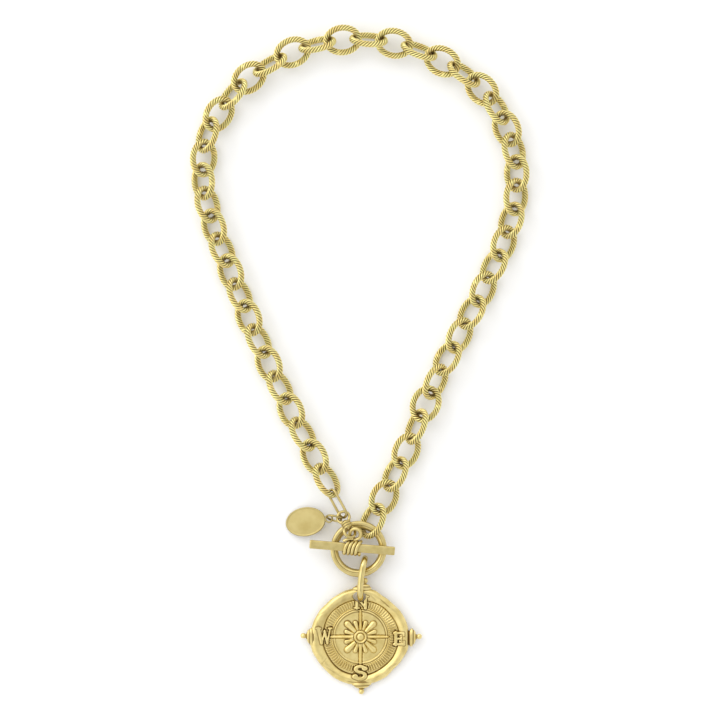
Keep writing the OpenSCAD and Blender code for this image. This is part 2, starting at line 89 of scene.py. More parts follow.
class PendantSettings(bpy.types.PropertyGroup):
    """Sizes of the cast compass"""
    middle: FloatVectorProperty(name="Middle", description="Middle of the disc's back, where it lies",
                                default=(0.25 * MM, -98.594 * MM, 1.214 * MM), unit="LENGTH", size=3)
    lean: FloatProperty(name="Lean", description="How far the disc leans on the bail",
                        default=math.radians(4.335), subtype="ANGLE")
    disc: FloatProperty(name="Disc", description="Mean diameter of the disc",
                        default=34.2 * MM, unit="LENGTH")
    rim: FloatProperty(name="Rim", description="Height of the rim above the back",
                       default=2.5 * MM, unit="LENGTH")
    letter: FloatProperty(name="Letters", description="Height of the compass letters",
                          default=5.2 * MM, unit="LENGTH")
    ticks: IntProperty(name="Ticks", description="Ticks round the compass card", default=82, min=36, max=144)
    finial: FloatProperty(name="Finials", description="Width of a finial at its base",
                          default=6.4 * MM, unit="LENGTH")
    ball: FloatProperty(name="Balls", description="Diameter of the ball on a finial",
                        default=1.95 * MM, unit="LENGTH")
    hole: FloatVectorProperty(name="Hole", description="Length and width of the oval hole for the bail",
                              default=(4.8 * MM, 3.8 * MM), unit="LENGTH", size=2)
    hole_place: FloatVectorProperty(name="Hole's place",
                                    description="Middle of the hole from the middle of the disc",
                                    default=(-0.35 * MM, 14.45 * MM), unit="LENGTH", size=2)


class ClaspSettings(bpy.types.PropertyGroup):
    """Sizes and places of the toggle bar, the connector and the tag"""
    bar_middle: FloatVectorProperty(name="Bar middle",
                                    description="Middle of the bar, which lies across the ring",
                                    default=(-2.699 * MM, -66.748 * MM, 6.725 * MM), unit="LENGTH", size=3)
    bar_heading: FloatProperty(name="Bar heading", description="Direction of the bar, from east",
                               default=math.radians(-4.7), subtype="ANGLE")
    bar_size: FloatVectorProperty(name="Bar size", description="Length, width and height of the bar",
                                  default=(30.4 * MM, 3 * MM, 2.4 * MM), unit="LENGTH", size=3)
    coil_wire: FloatProperty(name="Coil wire", description="Thickness of the coil's wire",
                             default=1.25 * MM, unit="LENGTH")
    coil_turns: IntProperty(name="Coil turns", description="Turns of the coil on the bar",
                            default=4, min=3, max=5)
    bar_eye: FloatVectorProperty(name="Bar eye", description="Middle of the eye on the coil",
                                 default=(-1.608 * MM, -61.897 * MM, 8.231 * MM), unit="LENGTH", size=3)
    low_eye: FloatVectorProperty(name="Lower eye", description="Middle of the connector's lower eye",
                                 default=(-3.583 * MM, -61.047 * MM, 8.431 * MM), unit="LENGTH", size=3)
    top_eye: FloatVectorProperty(name="Upper eye", description="Middle of the connector's upper eye",
                                 default=(-5.812 * MM, -56.041 * MM, 6.86 * MM), unit="LENGTH", size=3)
    eye_wire: FloatProperty(name="Connector wire", description="Thickness of the connector's wire",
                            default=1.05 * MM, unit="LENGTH")
    tag_eye: FloatVectorProperty(name="Tag eye", description="Middle of the tag's eye",
                                 default=(-10.981 * MM, -56.585 * MM, 4.257 * MM), unit="LENGTH", size=3)
    tag_size: FloatVectorProperty(name="Tag size", description="Length, width and thickness of the tag",
                                  default=(14.6 * MM, 10.4 * MM, 0.6 * MM), unit="LENGTH", size=3)


class RingSettings(bpy.types.PropertyGroup):
    """Sizes and place of the toggle ring"""
    middle: FloatVectorProperty(name="Ring middle",
                                description="Middle of the toggle ring, which rests on the chain's end",
                                default=(-0.399 * MM, -67.348 * MM, 3.925 * MM), unit="LENGTH", size=3)
    tilt: FloatProperty(name="Ring tilt", description="How far the ring leans on the last link",
                        default=math.radians(1.822), subtype="ANGLE")
    across: FloatProperty(name="Ring", description="Outside diameter of the ring",
                          default=20.1 * MM, unit="LENGTH")
    band: FloatVectorProperty(name="Band", description="Width and height of the ring's band",
                              default=(2.8 * MM, 2.6 * MM), unit="LENGTH", size=2)


class BailSettings(bpy.types.PropertyGroup):
    """Sizes and place of the bail, which stands on its edge"""
    middle: FloatVectorProperty(name="Bail middle", description="Middle of the bail",
                                default=(1.03 * MM, -77.777 * MM, 4.3 * MM), unit="LENGTH", size=3)
    heading: FloatProperty(name="Bail heading", description="Direction of the bail's length, from east",
                           default=math.radians(83.5), subtype="ANGLE")
    size: FloatVectorProperty(name="Bail", description="Outside length and height of the bail",
                              default=(16.4 * MM, 8.6 * MM), unit="LENGTH", size=2)
    wire: FloatProperty(name="Bail wire", description="Thickness of the bail's wire",
                        default=2.2 * MM, unit="LENGTH")
    bend: FloatProperty(name="Bail bend", description="How far the bail's middle is bent to the west",
                        default=0.55 * MM, unit="LENGTH")


class GoldSettings(bpy.types.PropertyGroup):
    """Colours of the gold finishes"""
    pale: FloatVectorProperty(name="Pale gold", description="Where the satin finish catches the light",
                              default=(0.74, 0.61, 0.265), subtype="COLOR", size=3, min=0, max=1)
    deep: FloatVectorProperty(name="Deep gold", description="Cloudier patches and worn places",
                              default=(0.63, 0.5, 0.19), subtype="COLOR", size=3, min=0, max=1)
    # Nest colour: the painted shade in the grooves and where pieces nest, and the colour of the rim's worn
    # blotches
    nest: FloatVectorProperty(name="Nest", description="Grime in the grooves and where pieces nest",
                              default=(0.22, 0.13, 0.035), subtype="COLOR", size=3, min=0, max=1)


class StageSettings(bpy.types.PropertyGroup):
    """Camera, floor and light"""
    camera_height: FloatProperty(name="Camera height", description="Height of the camera over the floor",
                                 default=1.6, unit="LENGTH")
    view_width: FloatProperty(name="View width", description="Width of the floor in the picture",
                              default=257.0 * MM, unit="LENGTH")
    floor: FloatVectorProperty(name="Floor", description="Colour of the floor", default=(0.95, 0.95, 0.95),
                               subtype="COLOR", size=3, min=0, max=1)
    room: FloatProperty(name="Room light", description="Strength of the even light of the room", default=0.92)
    window: FloatProperty(name="Window light", description="How much brighter the room is at the upper left",
                          default=0.85)
    overhead: FloatProperty(name="Overhead shade", description="How much darker the room is straight above",
                            default=0.55)
    key: FloatProperty(name="Key light", description="Power of the lamp at the upper left",
                       default=1.0, unit="POWER")


# Curves and directions

def unit(v):
    return np.asarray(v, float) / np.linalg.norm(v)


def aim(angle, pitch=0.0):
    """A direction on the plan, raised by a pitch, both in degrees."""
    a, p = math.radians(angle), math.radians(pitch)
    return np.array([math.cos(a) * math.cos(p), math.sin(a) * math.cos(p), math.sin(p)])


def axes_of(way, roll=0.0):
    """Rows of a frame with its X along way and its Y rolled up from the level by degrees."""
    x = unit(way)
    side = unit(np.cross([0, 0, 1], x))
    r = math.radians(roll)
    y = side * math.cos(r) + np.cross(x, side) * math.sin(r)
    return np.array([x, y, np.cross(x, y)])


def set_down(points, tilt, middle):
    """Points of a piece tilted about the X axis and moved to its middle, in millimetres."""
    return points @ np.array(Matrix.Rotation(tilt, 3, "X")).T + np.array(middle) / MM


def turned(x, y, degrees):
    """Places along and across a direction on the plan."""
    a = math.radians(degrees)
    return x * math.cos(a) + y * math.sin(a), -x * math.sin(a) + y * math.cos(a)


def ease(low, high, v):
    """A soft step: 0 at low and 1 at high, also where low is the greater of the two."""
    t = np.clip((v - low) / (high - low), 0, 1)
    return t * t * (3 - 2 * t)


def between(stretch, v):
    """1 within a stretch and 0 outside it: it rises over the first two places and falls over the last two."""
    rise, full, ebb, end = stretch
    return ease(rise, full, v) * ease(end, ebb, v)


def line(distance, width):
    """A soft line: 1 where the distance is nothing, falling away over a width."""
    return np.exp(-(distance / width) ** 2)


def arch(distance, half):
    """A half-round section: 1 in its middle and 0 from half a width on."""
    return np.sqrt(np.clip(1 - (distance / half) ** 2, 0, 1))


def round_steps(count):
    """Angles evenly spaced round a circle."""
    return np.arange(count) * FULL_TURN / count


def circle_path(middle, axes, radius, steps=72):
    t = round_steps(steps)
    return middle + radius * (np.cos(t)[:, None] * axes[0] + np.sin(t)[:, None] * axes[1])


# Meshes

# How far an open tube's end bulges, as a share of its width
END_BULGE = 0.12
# Steps to a metre of the grid that finds points in the same place
WELD_GRID = 1e7


def skin(rings, sides, closed):
    """Quads over rings of points, each ring running round the way from ring to ring."""
    i, j = np.meshgrid(np.arange(rings if closed else rings - 1), np.arange(sides), indexing="ij")
    n, k = (i + 1) % rings, (j + 1) % sides
    return np.stack([i * sides + j, i * sides + k, n * sides + k, n * sides + j], -1).reshape(-1, 4)


def fan(middle, ring, flip=False):
    """Triangles from a middle point to a ring of points."""
    after = np.roll(ring, -1)
    pair = (after, ring) if flip else (ring, after)
    return np.stack([np.full(len(ring), middle), *pair], -1)


def end_fans(rings, sides):
    """Triangles that close a skin's first and last rings, to two points that come after the rings."""
    last = rings * sides
    return [fan(last, np.arange(sides), flip=True), fan(last + 1, last - sides + np.arange(sides))]


def carried_sides(along, up, closed):
    """A side direction at each point of a path, carried on without twist and joined where it closes."""
    upright = abs(np.dot(along[0], up)) < 0.95
    side = np.empty_like(along)
    side[0] = unit(np.cross(along[0], up if upright else (1, 0, 0.1)))
    for i in range(1, len(along)):
        side[i] = unit(side[i - 1] - along[i] * np.dot(side[i - 1], along[i]))
    if closed:
        gap = unit(side[-1] - along[0] * np.dot(side[-1], along[0]))
        turn = math.atan2(np.dot(np.cross(gap, side[0]), along[0]), np.dot(gap, side[0]))
        for i in range(len(along)):
            a = turn * i / len(along)
            side[i] = side[i] * math.cos(a) + np.cross(along[i], side[i]) * math.sin(a)
    return side


def tube(path, widths, sides, closed=False, up=(0, 0, 1), squash=1.0):
    """Points and faces of a tube along a path, of one width or one for each point. Where it is open its ends
    bulge, and squash is its height as a share of its width."""
    path = np.asarray(path, float)
    widths = np.broadcast_to(np.asarray(widths, float), len(path))
    along = np.roll(path, -1, 0) - np.roll(path, 1, 0) if closed else np.gradient(path, axis=0)
    along /= np.linalg.norm(along, axis=1)[:, None]
    side = carried_sides(along, up, closed)
    other = squash * np.cross(along, side)
    t = round_steps(sides)[:, None]
    out = np.cos(t) * side[:, None] + np.sin(t) * other[:, None]
    points = (path[:, None] + widths[:, None, None] / 2 * out).reshape(-1, 3)
    faces = [skin(len(path), sides, closed)]
    if not closed:
        bulge = along * widths[:, None] * END_BULGE
        points = np.vstack([points, path[0] - bulge[0], path[-1] + bulge[-1]])
        faces += end_fans(len(path), sides)
    return points, faces


def join(parts):
    """One set of points and faces from several."""
    points, faces, count = [], [], 0
    for p, f in parts:
        points.append(p)
        faces += [np.asarray(x) + count for x in f]
        count += len(p)
    return np.vstack(points), faces


def make_piece(name, points, faces, material, crease, painted_shade_and_wear=None):
    """A mesh object from points in millimetres and arrays of three- or four-cornered faces, on the body.
    Edges sharper than the crease in degrees stay sharp. The last argument is how dark each point is painted,
    from 0 to 1: painted shade, and on the rim worn blotches."""
    mesh = bpy.data.meshes.new(name)
    corners = np.concatenate([np.asarray(f).ravel() for f in faces]).astype(np.int32)
    sizes = np.concatenate([np.full(len(f), np.shape(f)[1]) for f in faces])
    mesh.vertices.add(len(points))
    mesh.vertices.foreach_set("co", (np.asarray(points) * MM).astype(np.float32).ravel())
    if painted_shade_and_wear is not None:
        shades_and_wear = mesh.attributes.new("painted_shade_and_wear", "FLOAT", "POINT")
        shades_and_wear.data.foreach_set("value", np.asarray(painted_shade_and_wear, np.float32).ravel())
    mesh.loops.add(len(corners))
    mesh.loops.foreach_set("vertex_index", corners)
    mesh.polygons.add(len(sizes))
    mesh.polygons.foreach_set("loop_start", np.concatenate([[0], np.cumsum(sizes)[:-1]]).astype(np.int32))
    mesh.update(calc_edges=True)
    mesh.validate()
    mesh.polygons.foreach_set("use_smooth", np.ones(len(mesh.polygons), bool))
    mesh.set_sharp_from_angle(angle=math.radians(crease))
    mesh.materials.append(material)
    piece = bpy.data.objects.new(name, mesh)
    bpy.context.scene.collection.objects.link(piece)
    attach(piece, BODY)
    return piece


def loose_parts(mesh):
    """The corner points of each loose part of a mesh, as a list of arrays in metres."""
    co = np.empty(len(mesh.vertices) * 3)
    mesh.vertices.foreach_get("co", co)
    _, first, index = np.unique(np.round(co.reshape(-1, 3) * WELD_GRID).astype(np.int64), axis=0,
                                return_index=True, return_inverse=True)
    co = co.reshape(-1, 3)[first]
    ends = np.empty(len(mesh.edges) * 2, np.int32)
    mesh.edges.foreach_get("vertices", ends)
    a, b = index.ravel()[ends].reshape(-1, 2).T
    label = np.arange(len(co))
    while True:
        low = np.minimum(label[a], label[b])
        new = label.copy()
        np.minimum.at(new, a, low)
        np.minimum.at(new, b, low)
        if (new == label).all():
            return [co[label == value] for value in np.unique(label)]
        label = new


# Shader nodes

def feed(tree, socket, value):
    """Sets a socket, or joins it where the value is another node's output."""
    if isinstance(value, bpy.types.NodeSocket):
        tree.links.new(value, socket)
    else:
        socket.default_value = value


def add_node(tree, kind, at, **inputs):
    """A shader node with its inputs set or joined by name."""
    node = tree.nodes.new(kind)
    node.location = at
    for name, value in inputs.items():
        feed(tree, node.inputs[name.replace("_", " ")], value)
    return node


def maths(tree, operation, at, *values):
    """The outcome of a maths node."""
    node = add_node(tree, "ShaderNodeMath", at)
    node.operation = operation
    for socket, value in zip(node.inputs, values):
        feed(tree, socket, value)
    return node.outputs[0]


def remap(tree, at, value, seen, given, way="LINEAR"):
    """A value with one range laid on another, held at the ends."""
    node = add_node(tree, "ShaderNodeMapRange", at, Value=value, From_Min=seen[0], From_Max=seen[1],
                    To_Min=given[0], To_Max=given[1])
    node.interpolation_type = way
    return node.outputs["Result"]


def mix_colours(tree, at, share, first, second):
    """A colour mixed from two, by the share of the second."""
    node = add_node(tree, "ShaderNodeMix", at, Factor=share)
    node.data_type = "RGBA"
    feed(tree, node.inputs[6], first)
    feed(tree, node.inputs[7], second)
    return node.outputs[2]


# Finishes

# Where the cloudy noise turns from deep to pale gold, and the spread of the fine noise
CLOUD_STOPS = (0.32, 0.62)
GRAIN_SPREAD = (0.3, 0.7)
# How open a place is, from where the painted shade of nesting pieces is full to where it ends
NEST_OPEN = (0.25, 0.85)
# How far brushed lines are drawn out, as a share of the grain
BRUSH_STRETCH = 0.06


def gold_finish(name, rough, grain, grain_size, nest, nest_reach=0.7, cloud_size=2.6, bump=0.025,
                brushed=None, paints_shade_and_wear=False, painted_brightness=1.0):
    """Satin gold: cloudy colour, a fine cast grain or lines brushed along a heading, painted shade where
    pieces nest, and the painted shade and worn blotches that the mesh carries. The pale and deep gold are
    made lighter or darker for each piece, lit and shaded copies of one gold that paint light and shade. The
    sizes, the reach and the bump are in millimetres."""
    gold = bpy.context.scene.necklace_gold
    # Painted light and shade: each piece gets a lighter or darker copy of the pale and deep gold
    pale, deep = ((*(min(1.0, part * painted_brightness) for part in colour), 1.0) for colour in (gold.pale, gold.deep))
    dark = (*gold.nest, 1.0)
    material = bpy.data.materials.new(name)
    material.use_nodes = True
    tree = material.node_tree
    tree.nodes.clear()
    place = add_node(tree, "ShaderNodeTexCoord", (-1400, 0)).outputs["Object"]
    grain_place = place
    if brushed is not None:
        drawn = add_node(tree, "ShaderNodeMapping", (-1200, -300), Vector=place, Rotation=(0, 0, -brushed),
                         Scale=(BRUSH_STRETCH, 1, 1))
        grain_place = drawn.outputs["Vector"]
    cloud = add_node(tree, "ShaderNodeTexNoise", (-1000, 250), Vector=place, Scale=1 / (cloud_size * MM),
                     Detail=3, Roughness=0.55)
    fine = add_node(tree, "ShaderNodeTexNoise", (-1000, 0), Vector=grain_place, Scale=1 / (grain_size * MM),
                    Detail=4, Roughness=0.6)
    tint = add_node(tree, "ShaderNodeValToRGB", (-780, 250), Fac=cloud.outputs["Fac"])
    for stop, position, colour in zip(tint.color_ramp.elements, CLOUD_STOPS, (deep, pale)):
        stop.position = position
        stop.color = colour
    # Painted shade: the gold is darkened towards the nest colour where ambient occlusion finds other metal
    # close by
    reach = add_node(tree, "ShaderNodeAmbientOcclusion", (-1000, 500), Distance=nest_reach * MM)
    reach.samples = 8
    painted_shade = remap(tree, (-780, 500), reach.outputs["AO"], NEST_OPEN, (nest, 0))
    colour = mix_colours(tree, (-500, 300), painted_shade, tint.outputs["Color"], dark)
    # Painted shade carried by the mesh, with the rim's worn blotches, darkens the gold further
    if paints_shade_and_wear:
        shade_and_wear = add_node(tree, "ShaderNodeAttribute", (-500, 520))
        shade_and_wear.attribute_name = "painted_shade_and_wear"
        colour = mix_colours(tree, (-350, 300), shade_and_wear.outputs["Fac"], colour, dark)
    smooth = remap(tree, (-780, 0), fine.outputs["Fac"], GRAIN_SPREAD, rough)
    relief = add_node(tree, "ShaderNodeBump", (-500, -200), Strength=grain, Distance=bump * MM,
                      Height=fine.outputs["Fac"])
    shader = add_node(tree, "ShaderNodeBsdfPrincipled", (-200, 100), Base_Color=colour, Roughness=smooth,
                      Normal=relief.outputs["Normal"], Metallic=1)
    tree.nodes.active = add_node(tree, "ShaderNodeOutputMaterial", (100, 100), Surface=shader.outputs["BSDF"])
    return material


# Chain

# Points across one strand, from groove to groove, and rings of points round a link
STRAND = (-1, -0.84, -0.5, 0, 0.5, 0.84)
LINK_RINGS = 96
# How sharply a strand falls into its grooves, and where across it the painted shade in the grooves sets in
# and is full
GROOVE_POWER = 2.4
GROOVE_SHADE = (0.42, 0.88)
# The solder at a link's seam: how much of the grooves it fills, its width as a share of the way round,
# and the shares between which it may lie
SOLDER_FILL = 0.75
SOLDER_WIDTH = 0.012
SOLDER_PLACES = (0.1, 0.9)
# The painted shade in the nook where two links meet: how near a link's end and how far round to its inside it
# sets in
NOOK_END = (0.7, 0.97)
NOOK_INSIDE = (-0.15, 0.7)
# Where the loop's left half ends, from west to east
LOOP_PARTING = -3.4 * MM
SEED = 7


def even_angles(half_long, half_wide, count, steps=2001):
    """Angles whose places on an oval are evenly spaced along it."""
    fine = np.linspace(0, FULL_TURN, steps)
    step = np.hypot(half_long * np.sin(fine), half_wide * np.cos(fine))
    run = np.concatenate([[0], np.cumsum((step[1:] + step[:-1]) / 2)])
    return np.interp(np.arange(count) / count * run[-1], run, fine)


def rope_link(chain, start, seam):
    """Rings of points of one twisted link in its own plane, and how dark they are painted, as painted shade
    in the grooves and in the nook where links meet. The strands are turned by start, and the solder lies at
    seam, a share of the way round."""
    wire = chain.wire / MM
    half_long, half_wide = (chain.length / MM - wire) / 2, (chain.width / MM - wire) / 2
    a = even_angles(half_long, half_wide, LINK_RINGS)
    middle = np.stack([half_long * np.cos(a), half_wide * np.sin(a), 0 * a], 1)[:, None]
    out = np.stack([half_wide * np.cos(a), half_long * np.sin(a), 0 * a], 1)[:, None]
    out /= np.linalg.norm(out, axis=-1, keepdims=True)
    share = np.arange(LINK_RINGS)[:, None] / LINK_RINGS
    across = np.tile(STRAND, chain.strands)
    strand = np.arange(len(across)) // len(STRAND) + (across + 1) / 2
    turn = strand * FULL_TURN / chain.strands + share * FULL_TURN * chain.stripes / chain.strands + start
    clear = 1 - SOLDER_FILL * line(np.minimum((share - seam) % 1, (seam - share) % 1), SOLDER_WIDTH)
    r = wire / 2 - chain.groove / MM * np.abs(across) ** GROOVE_POWER * clear
    points = middle + r[..., None] * (np.cos(turn)[..., None] * out + np.sin(turn)[..., None] * [0, 0, 1])
    # Painted shade in the grooves between the strands and in the nook where two links meet
    painted_shade = ease(*GROOVE_SHADE, np.abs(across)) * clear
    nook = chain.nook * ease(*NOOK_END, np.abs(np.cos(a)))[:, None] * ease(*NOOK_INSIDE, -np.cos(turn))
    return points.reshape(-1, 3), np.maximum(painted_shade, nook).ravel()


def link_skin(chain):
    """Quads of a closed twisted link, whose last ring meets the first turned on by the strands' twist."""
    sides = len(STRAND) * chain.strands
    i, j = np.meshgrid(np.arange(LINK_RINGS), np.arange(sides), indexing="ij")
    k, n = (j + 1) % sides, (i + 1) % LINK_RINGS
    come = np.where(i == LINK_RINGS - 1, len(STRAND) * chain.stripes, 0)
    after, beside = n * sides + (j + come) % sides, n * sides + (k + come) % sides
    return np.stack([i * sides + j, after, beside, i * sides + k], -1).reshape(-1, 4)


class NECKLACE_OT_rope_chain(bpy.types.Operator):
    """Lays a twisted wire link on each link of the chain"""
    bl_idname = "necklace.rope_chain"
    bl_label = "Lay the Rope Chain"

    def execute(self, context):
        chain = context.scene.necklace_chain
        # Painted light: the rope's gold is a lighter copy of the same gold, to make up for its dark grooves
        finish = gold_finish("rope_gold", rough=(0.34, 0.46), grain=0.2, grain_size=0.3, nest=0.3,
                             nest_reach=0.6, paints_shade_and_wear=True, painted_brightness=1.51)
        rng = np.random.default_rng(SEED)
        halves = {"rope_chain_left": [], "rope_chain_right": []}
        for corners in loose_parts(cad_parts["cable_chain"].data):
            middle = corners.mean(0)
            _, _, way = np.linalg.svd(corners - middle)
            name = "rope_chain_left" if middle[0] < LOOP_PARTING else "rope_chain_right"
            halves[name].append((middle / MM, np.array([way[0], way[1], np.cross(way[0], way[1])])))
        faces = [link_skin(chain)]
        for name, links in halves.items():
            parts, shades_and_wear = [], []
            for middle, axes in links:
                points, shade_and_wear = rope_link(chain, rng.uniform(0, FULL_TURN), rng.uniform(*SOLDER_PLACES))
                parts.append((points @ axes + middle, faces))
                shades_and_wear.append(shade_and_wear)
            piece = make_piece(name, *join(parts), finish, crease=50, painted_shade_and_wear=np.concatenate(shades_and_wear))
            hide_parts("cable_chain")
        return {"FINISHED"}


# Pendant's outline, rim and card

# Share of the pendant's mean radius at each 15 degrees of its outline, from east
OUTLINE = [1.015, 1.003, 0.987, 0.961, 0.966, 1.013, 1.02, 1.013, 0.997, 0.987, 1.008, 1.028,
           1.04, 1.048, 1.018, 1.008, 1.018, 1.018, 1.01, 1.003, 0.997, 0.966, 0.987, 1.018]
# Section of the rim, from the sunk face outwards: share of the radius, share of the rim's height
RIM_SECTION = [
    (0.0, 0.58), (0.768, 0.58), (0.776, 0.5), (0.784, 0.52), (0.79, 0.72), (0.8, 0.79), (0.83, 0.885),
    (0.87, 0.97), (0.905, 1.0), (0.94, 0.975), (0.965, 0.9), (0.985, 0.76), (1.0, 0.55),
]
# Waves round the disc: size, times round, start in radians, turn with the share of the radius. The rim's foot
# wanders by shares of the radius, the rim's top by millimetres, and two waves together blotch the rim.
FOOT_WAVES = [(-0.014, 1, 0, 0), (0.008, 3, 1, 0), (0.004, 8, 0, 0)]
RIM_WAVES = [(0.055, 4, 1, 0), (0.045, 9, 2, 5), (0.03, 21, 0, 9)]
BLOTCH_WAVES = [(1, 7, 0, 4)], [(1, 13, 2, 17)]
# Shares of the radius: how far out the foot is moved, the stretch that goes with it, where the rim waves
FOOT_SHIFT = 0.008
FOOT_STRETCH = (0.72, 0.78, 0.83, 0.95)
RIM_START = (0.8, 0.86)
# The painted shadow line at the rim's foot and the painted shade on the slope above it: share of the radius,
# width
FOOT_LINE = (0.781, 0.007)
SLOPE_SHADE = (0.835, 0.05)
# Direction of the slope's shade in radians, how near to it the shade sets in and is full, how dark it is
SLOPE_WAY = 2.15
SLOPE_SPREAD = (0.45, 0.95)
SLOPE_DARK = 0.34
# How strong the blotches of the rim are where they set in and are full, and how dark they are
BLOTCH_SPREAD = (0.2, 0.9)
BLOTCH_DARK = 0.16
# Creases that the casting left in the rim: angle, share of the radius, length and depth in millimetres, slant
CREASES = [(54, 0.9, 6.5, 0.24, 86), (72, 0.86, 3.5, 0.1, 70), (214, 0.9, 3.5, 0.1, 20),
           (318, 0.93, 4.5, 0.12, 80), (150, 0.95, 3.0, 0.08, 60), (262, 0.95, 6.0, 0.18, 86),
           (228, 0.92, 5.0, 0.12, 100)]
CREASE_WIDTH = 0.22
# Ridges round the card: share of the radius, half the width as a share, height in millimetres
RIDGES = [(0.55, 0.02, 0.36), (0.592, 0.013, 0.3)]
# Painted shadow lines inside the first ridge and between the two: share of the radius, width
INNER_LINE = (0.524, 0.011)
MIDDLE_LINE = (0.575, 0.007)
# The ticks' stretch as shares of the radius, their height in millimetres, how sharply they stand
TICK_STRETCH = (0.61, 0.622, 0.757, 0.768)
TICK_HEIGHT = 0.3
TICK_EDGE = (-0.35, 0.35)
# How far the card rises in its middle, in millimetres, and between which shares of the radius
CARD_RISE = 0.05
CARD_SLOPE = (0.5, 0.1)


def outline_at(angle):
    """Share of the mean radius that the outline has at each angle."""
    count = len(OUTLINE)
    u = np.mod(angle, FULL_TURN) / (FULL_TURN / count)
    i = np.floor(u).astype(int) % count
    t = (1 - np.cos(np.pi * (u - np.floor(u)))) / 2
    shares = np.array(OUTLINE)
    return shares[i] * (1 - t) + shares[(i + 1) % count] * t


def waves(rows, angle, share):
    return sum(size * np.sin(times * angle + start + twist * share) for size, times, start, twist in rows)


def rim_relief(share, angle, rim):
    """Height of the sunk face and of the rim round it, and how dark they are painted: a painted shadow line
    at the rim's foot that is darker to the south, painted shade on the rim's slope, and worn blotches on the
    rim.
    """
    seen = share - (FOOT_SHIFT + waves(FOOT_WAVES, angle, share)) * between(FOOT_STRETCH, share)
    h = np.interp(seen, *zip(*RIM_SECTION)) * rim
    # Painted shadow at the rim's foot, darker and wider towards the south
    south = 0.5 - 0.5 * np.sin(angle)
    foot, foot_width = FOOT_LINE
    shade_and_wear = (0.4 + 0.6 * south) * line(seen - foot, foot_width * (1 + south))
    slope, slope_width = SLOPE_SHADE
    shaded = ease(*SLOPE_SPREAD, np.cos(angle - SLOPE_WAY))
    shade_and_wear += SLOPE_DARK * shaded * line(seen - slope, slope_width)
    on_rim = ease(*RIM_START, share)
    h += on_rim * waves(RIM_WAVES, angle, share)
    one, other = (waves(rows, angle, share) for rows in BLOTCH_WAVES)
    return h, shade_and_wear + BLOTCH_DARK * on_rim * ease(*BLOTCH_SPREAD, one * other)


def crease_relief(h, shade_and_wear, x, y, big):
    """Cuts the creases of the rim into it, and paints shade into them."""
    for at, out, length, depth, slant in CREASES:
        cx, cy, _ = out * big * aim(at)
        u, v = turned(x - cx, y - cy, at + slant)
        crease = line(v, CREASE_WIDTH) * ease(length / 2, length / 4, np.abs(u))
        h = h - depth * crease
        # Painted shade in the creases, deeper creases darker
        shade_and_wear = shade_and_wear + 3 * depth * crease
    return h, shade_and_wear


def card_relief(h, shade_and_wear, share, angle, ticks):
    """Raises the card a little in its middle, and its ridges and ticks, and paints shadow lines beside the
    ridges and shade between the ticks.
    """
    h = h + ease(*CARD_SLOPE, share) * CARD_RISE
    for middle, half, tall in RIDGES:
        h += tall * arch(share - middle, half)
    inner, inner_width = INNER_LINE
    middle, middle_width = MIDDLE_LINE
    # Painted shadow lines inside the first ridge, darker towards the upper right, and between the two ridges
    shade_and_wear = shade_and_wear + (0.6 + 0.4 * np.cos(angle - 0.9)) * line(share - inner, inner_width)
    shade_and_wear += 0.6 * line(share - middle, middle_width)
    # Painted shade between the ticks, darker to the south
    metal = ease(*TICK_EDGE, np.cos(angle * ticks))
    band = between(TICK_STRETCH, share)
    south = 0.5 - 0.5 * np.sin(angle)
    return h + TICK_HEIGHT * metal * band, shade_and_wear + (0.3 + 0.14 * south) * (1 - metal) * band


# Pendant's compass rose and letters

# Directions of the petals' groups, between the rays
QUARTERS = (45, 135, 225, 315)
# Each petal of a group: turn from the group's direction, reach as a share of the radius, half its width and
# its height in millimetres
PETALS = [(0, 0.455, 1.25, 0.95), (-25, 0.365, 0.9, 0.6), (25, 0.365, 0.9, 0.6)]
# Where the petals start in millimetres from the middle, how wide they are there as a share of their width,
# and the width of the painted shadow line round them in millimetres
PETAL_ROOT = 2.3
PETAL_NECK = 0.55
PETAL_LINE = 0.2
# Each ray: direction, half its width at the boss and at the tip in millimetres, the tip's share of the radius
RAYS = [(90, 0.72, 0.5, 0.6), (0, 0.8, 0.52, 0.6), (270, 0.88, 0.55, 0.69), (180, 0.85, 0.6, 0.655)]
# Height of a ray at the boss and how much lower it is at its tip, in millimetres, and how round its roof is
RAY_HEIGHT = 1.0
RAY_FALL = 0.3
RAY_ROOF = 0.6
# Length in millimetres over which a ray is drawn in at its tip, and from where to how far past its tip the
# card is cut down and painted with shadow beside it
RAY_TIP = 0.7
RAY_SIDE = (2.2, 0.3)
# Cut beside a ray in millimetres: depth, how far off its middle is, width
RAY_CUT = (0.12, 0.1, 0.16)
# Boss in millimetres: radius, half width and height of its ring, radius, foot and height of the dome in it
BOSS_RING = (1.92, 0.56, 1.15)
BOSS_DOME = (1.4, 0.4, 0.6)
BOSS_EDGE = 2.45
DOME_EDGE = 1.5
# Width in millimetres of the painted shadow lines round the rays and the boss
DARK_LINE = 0.15


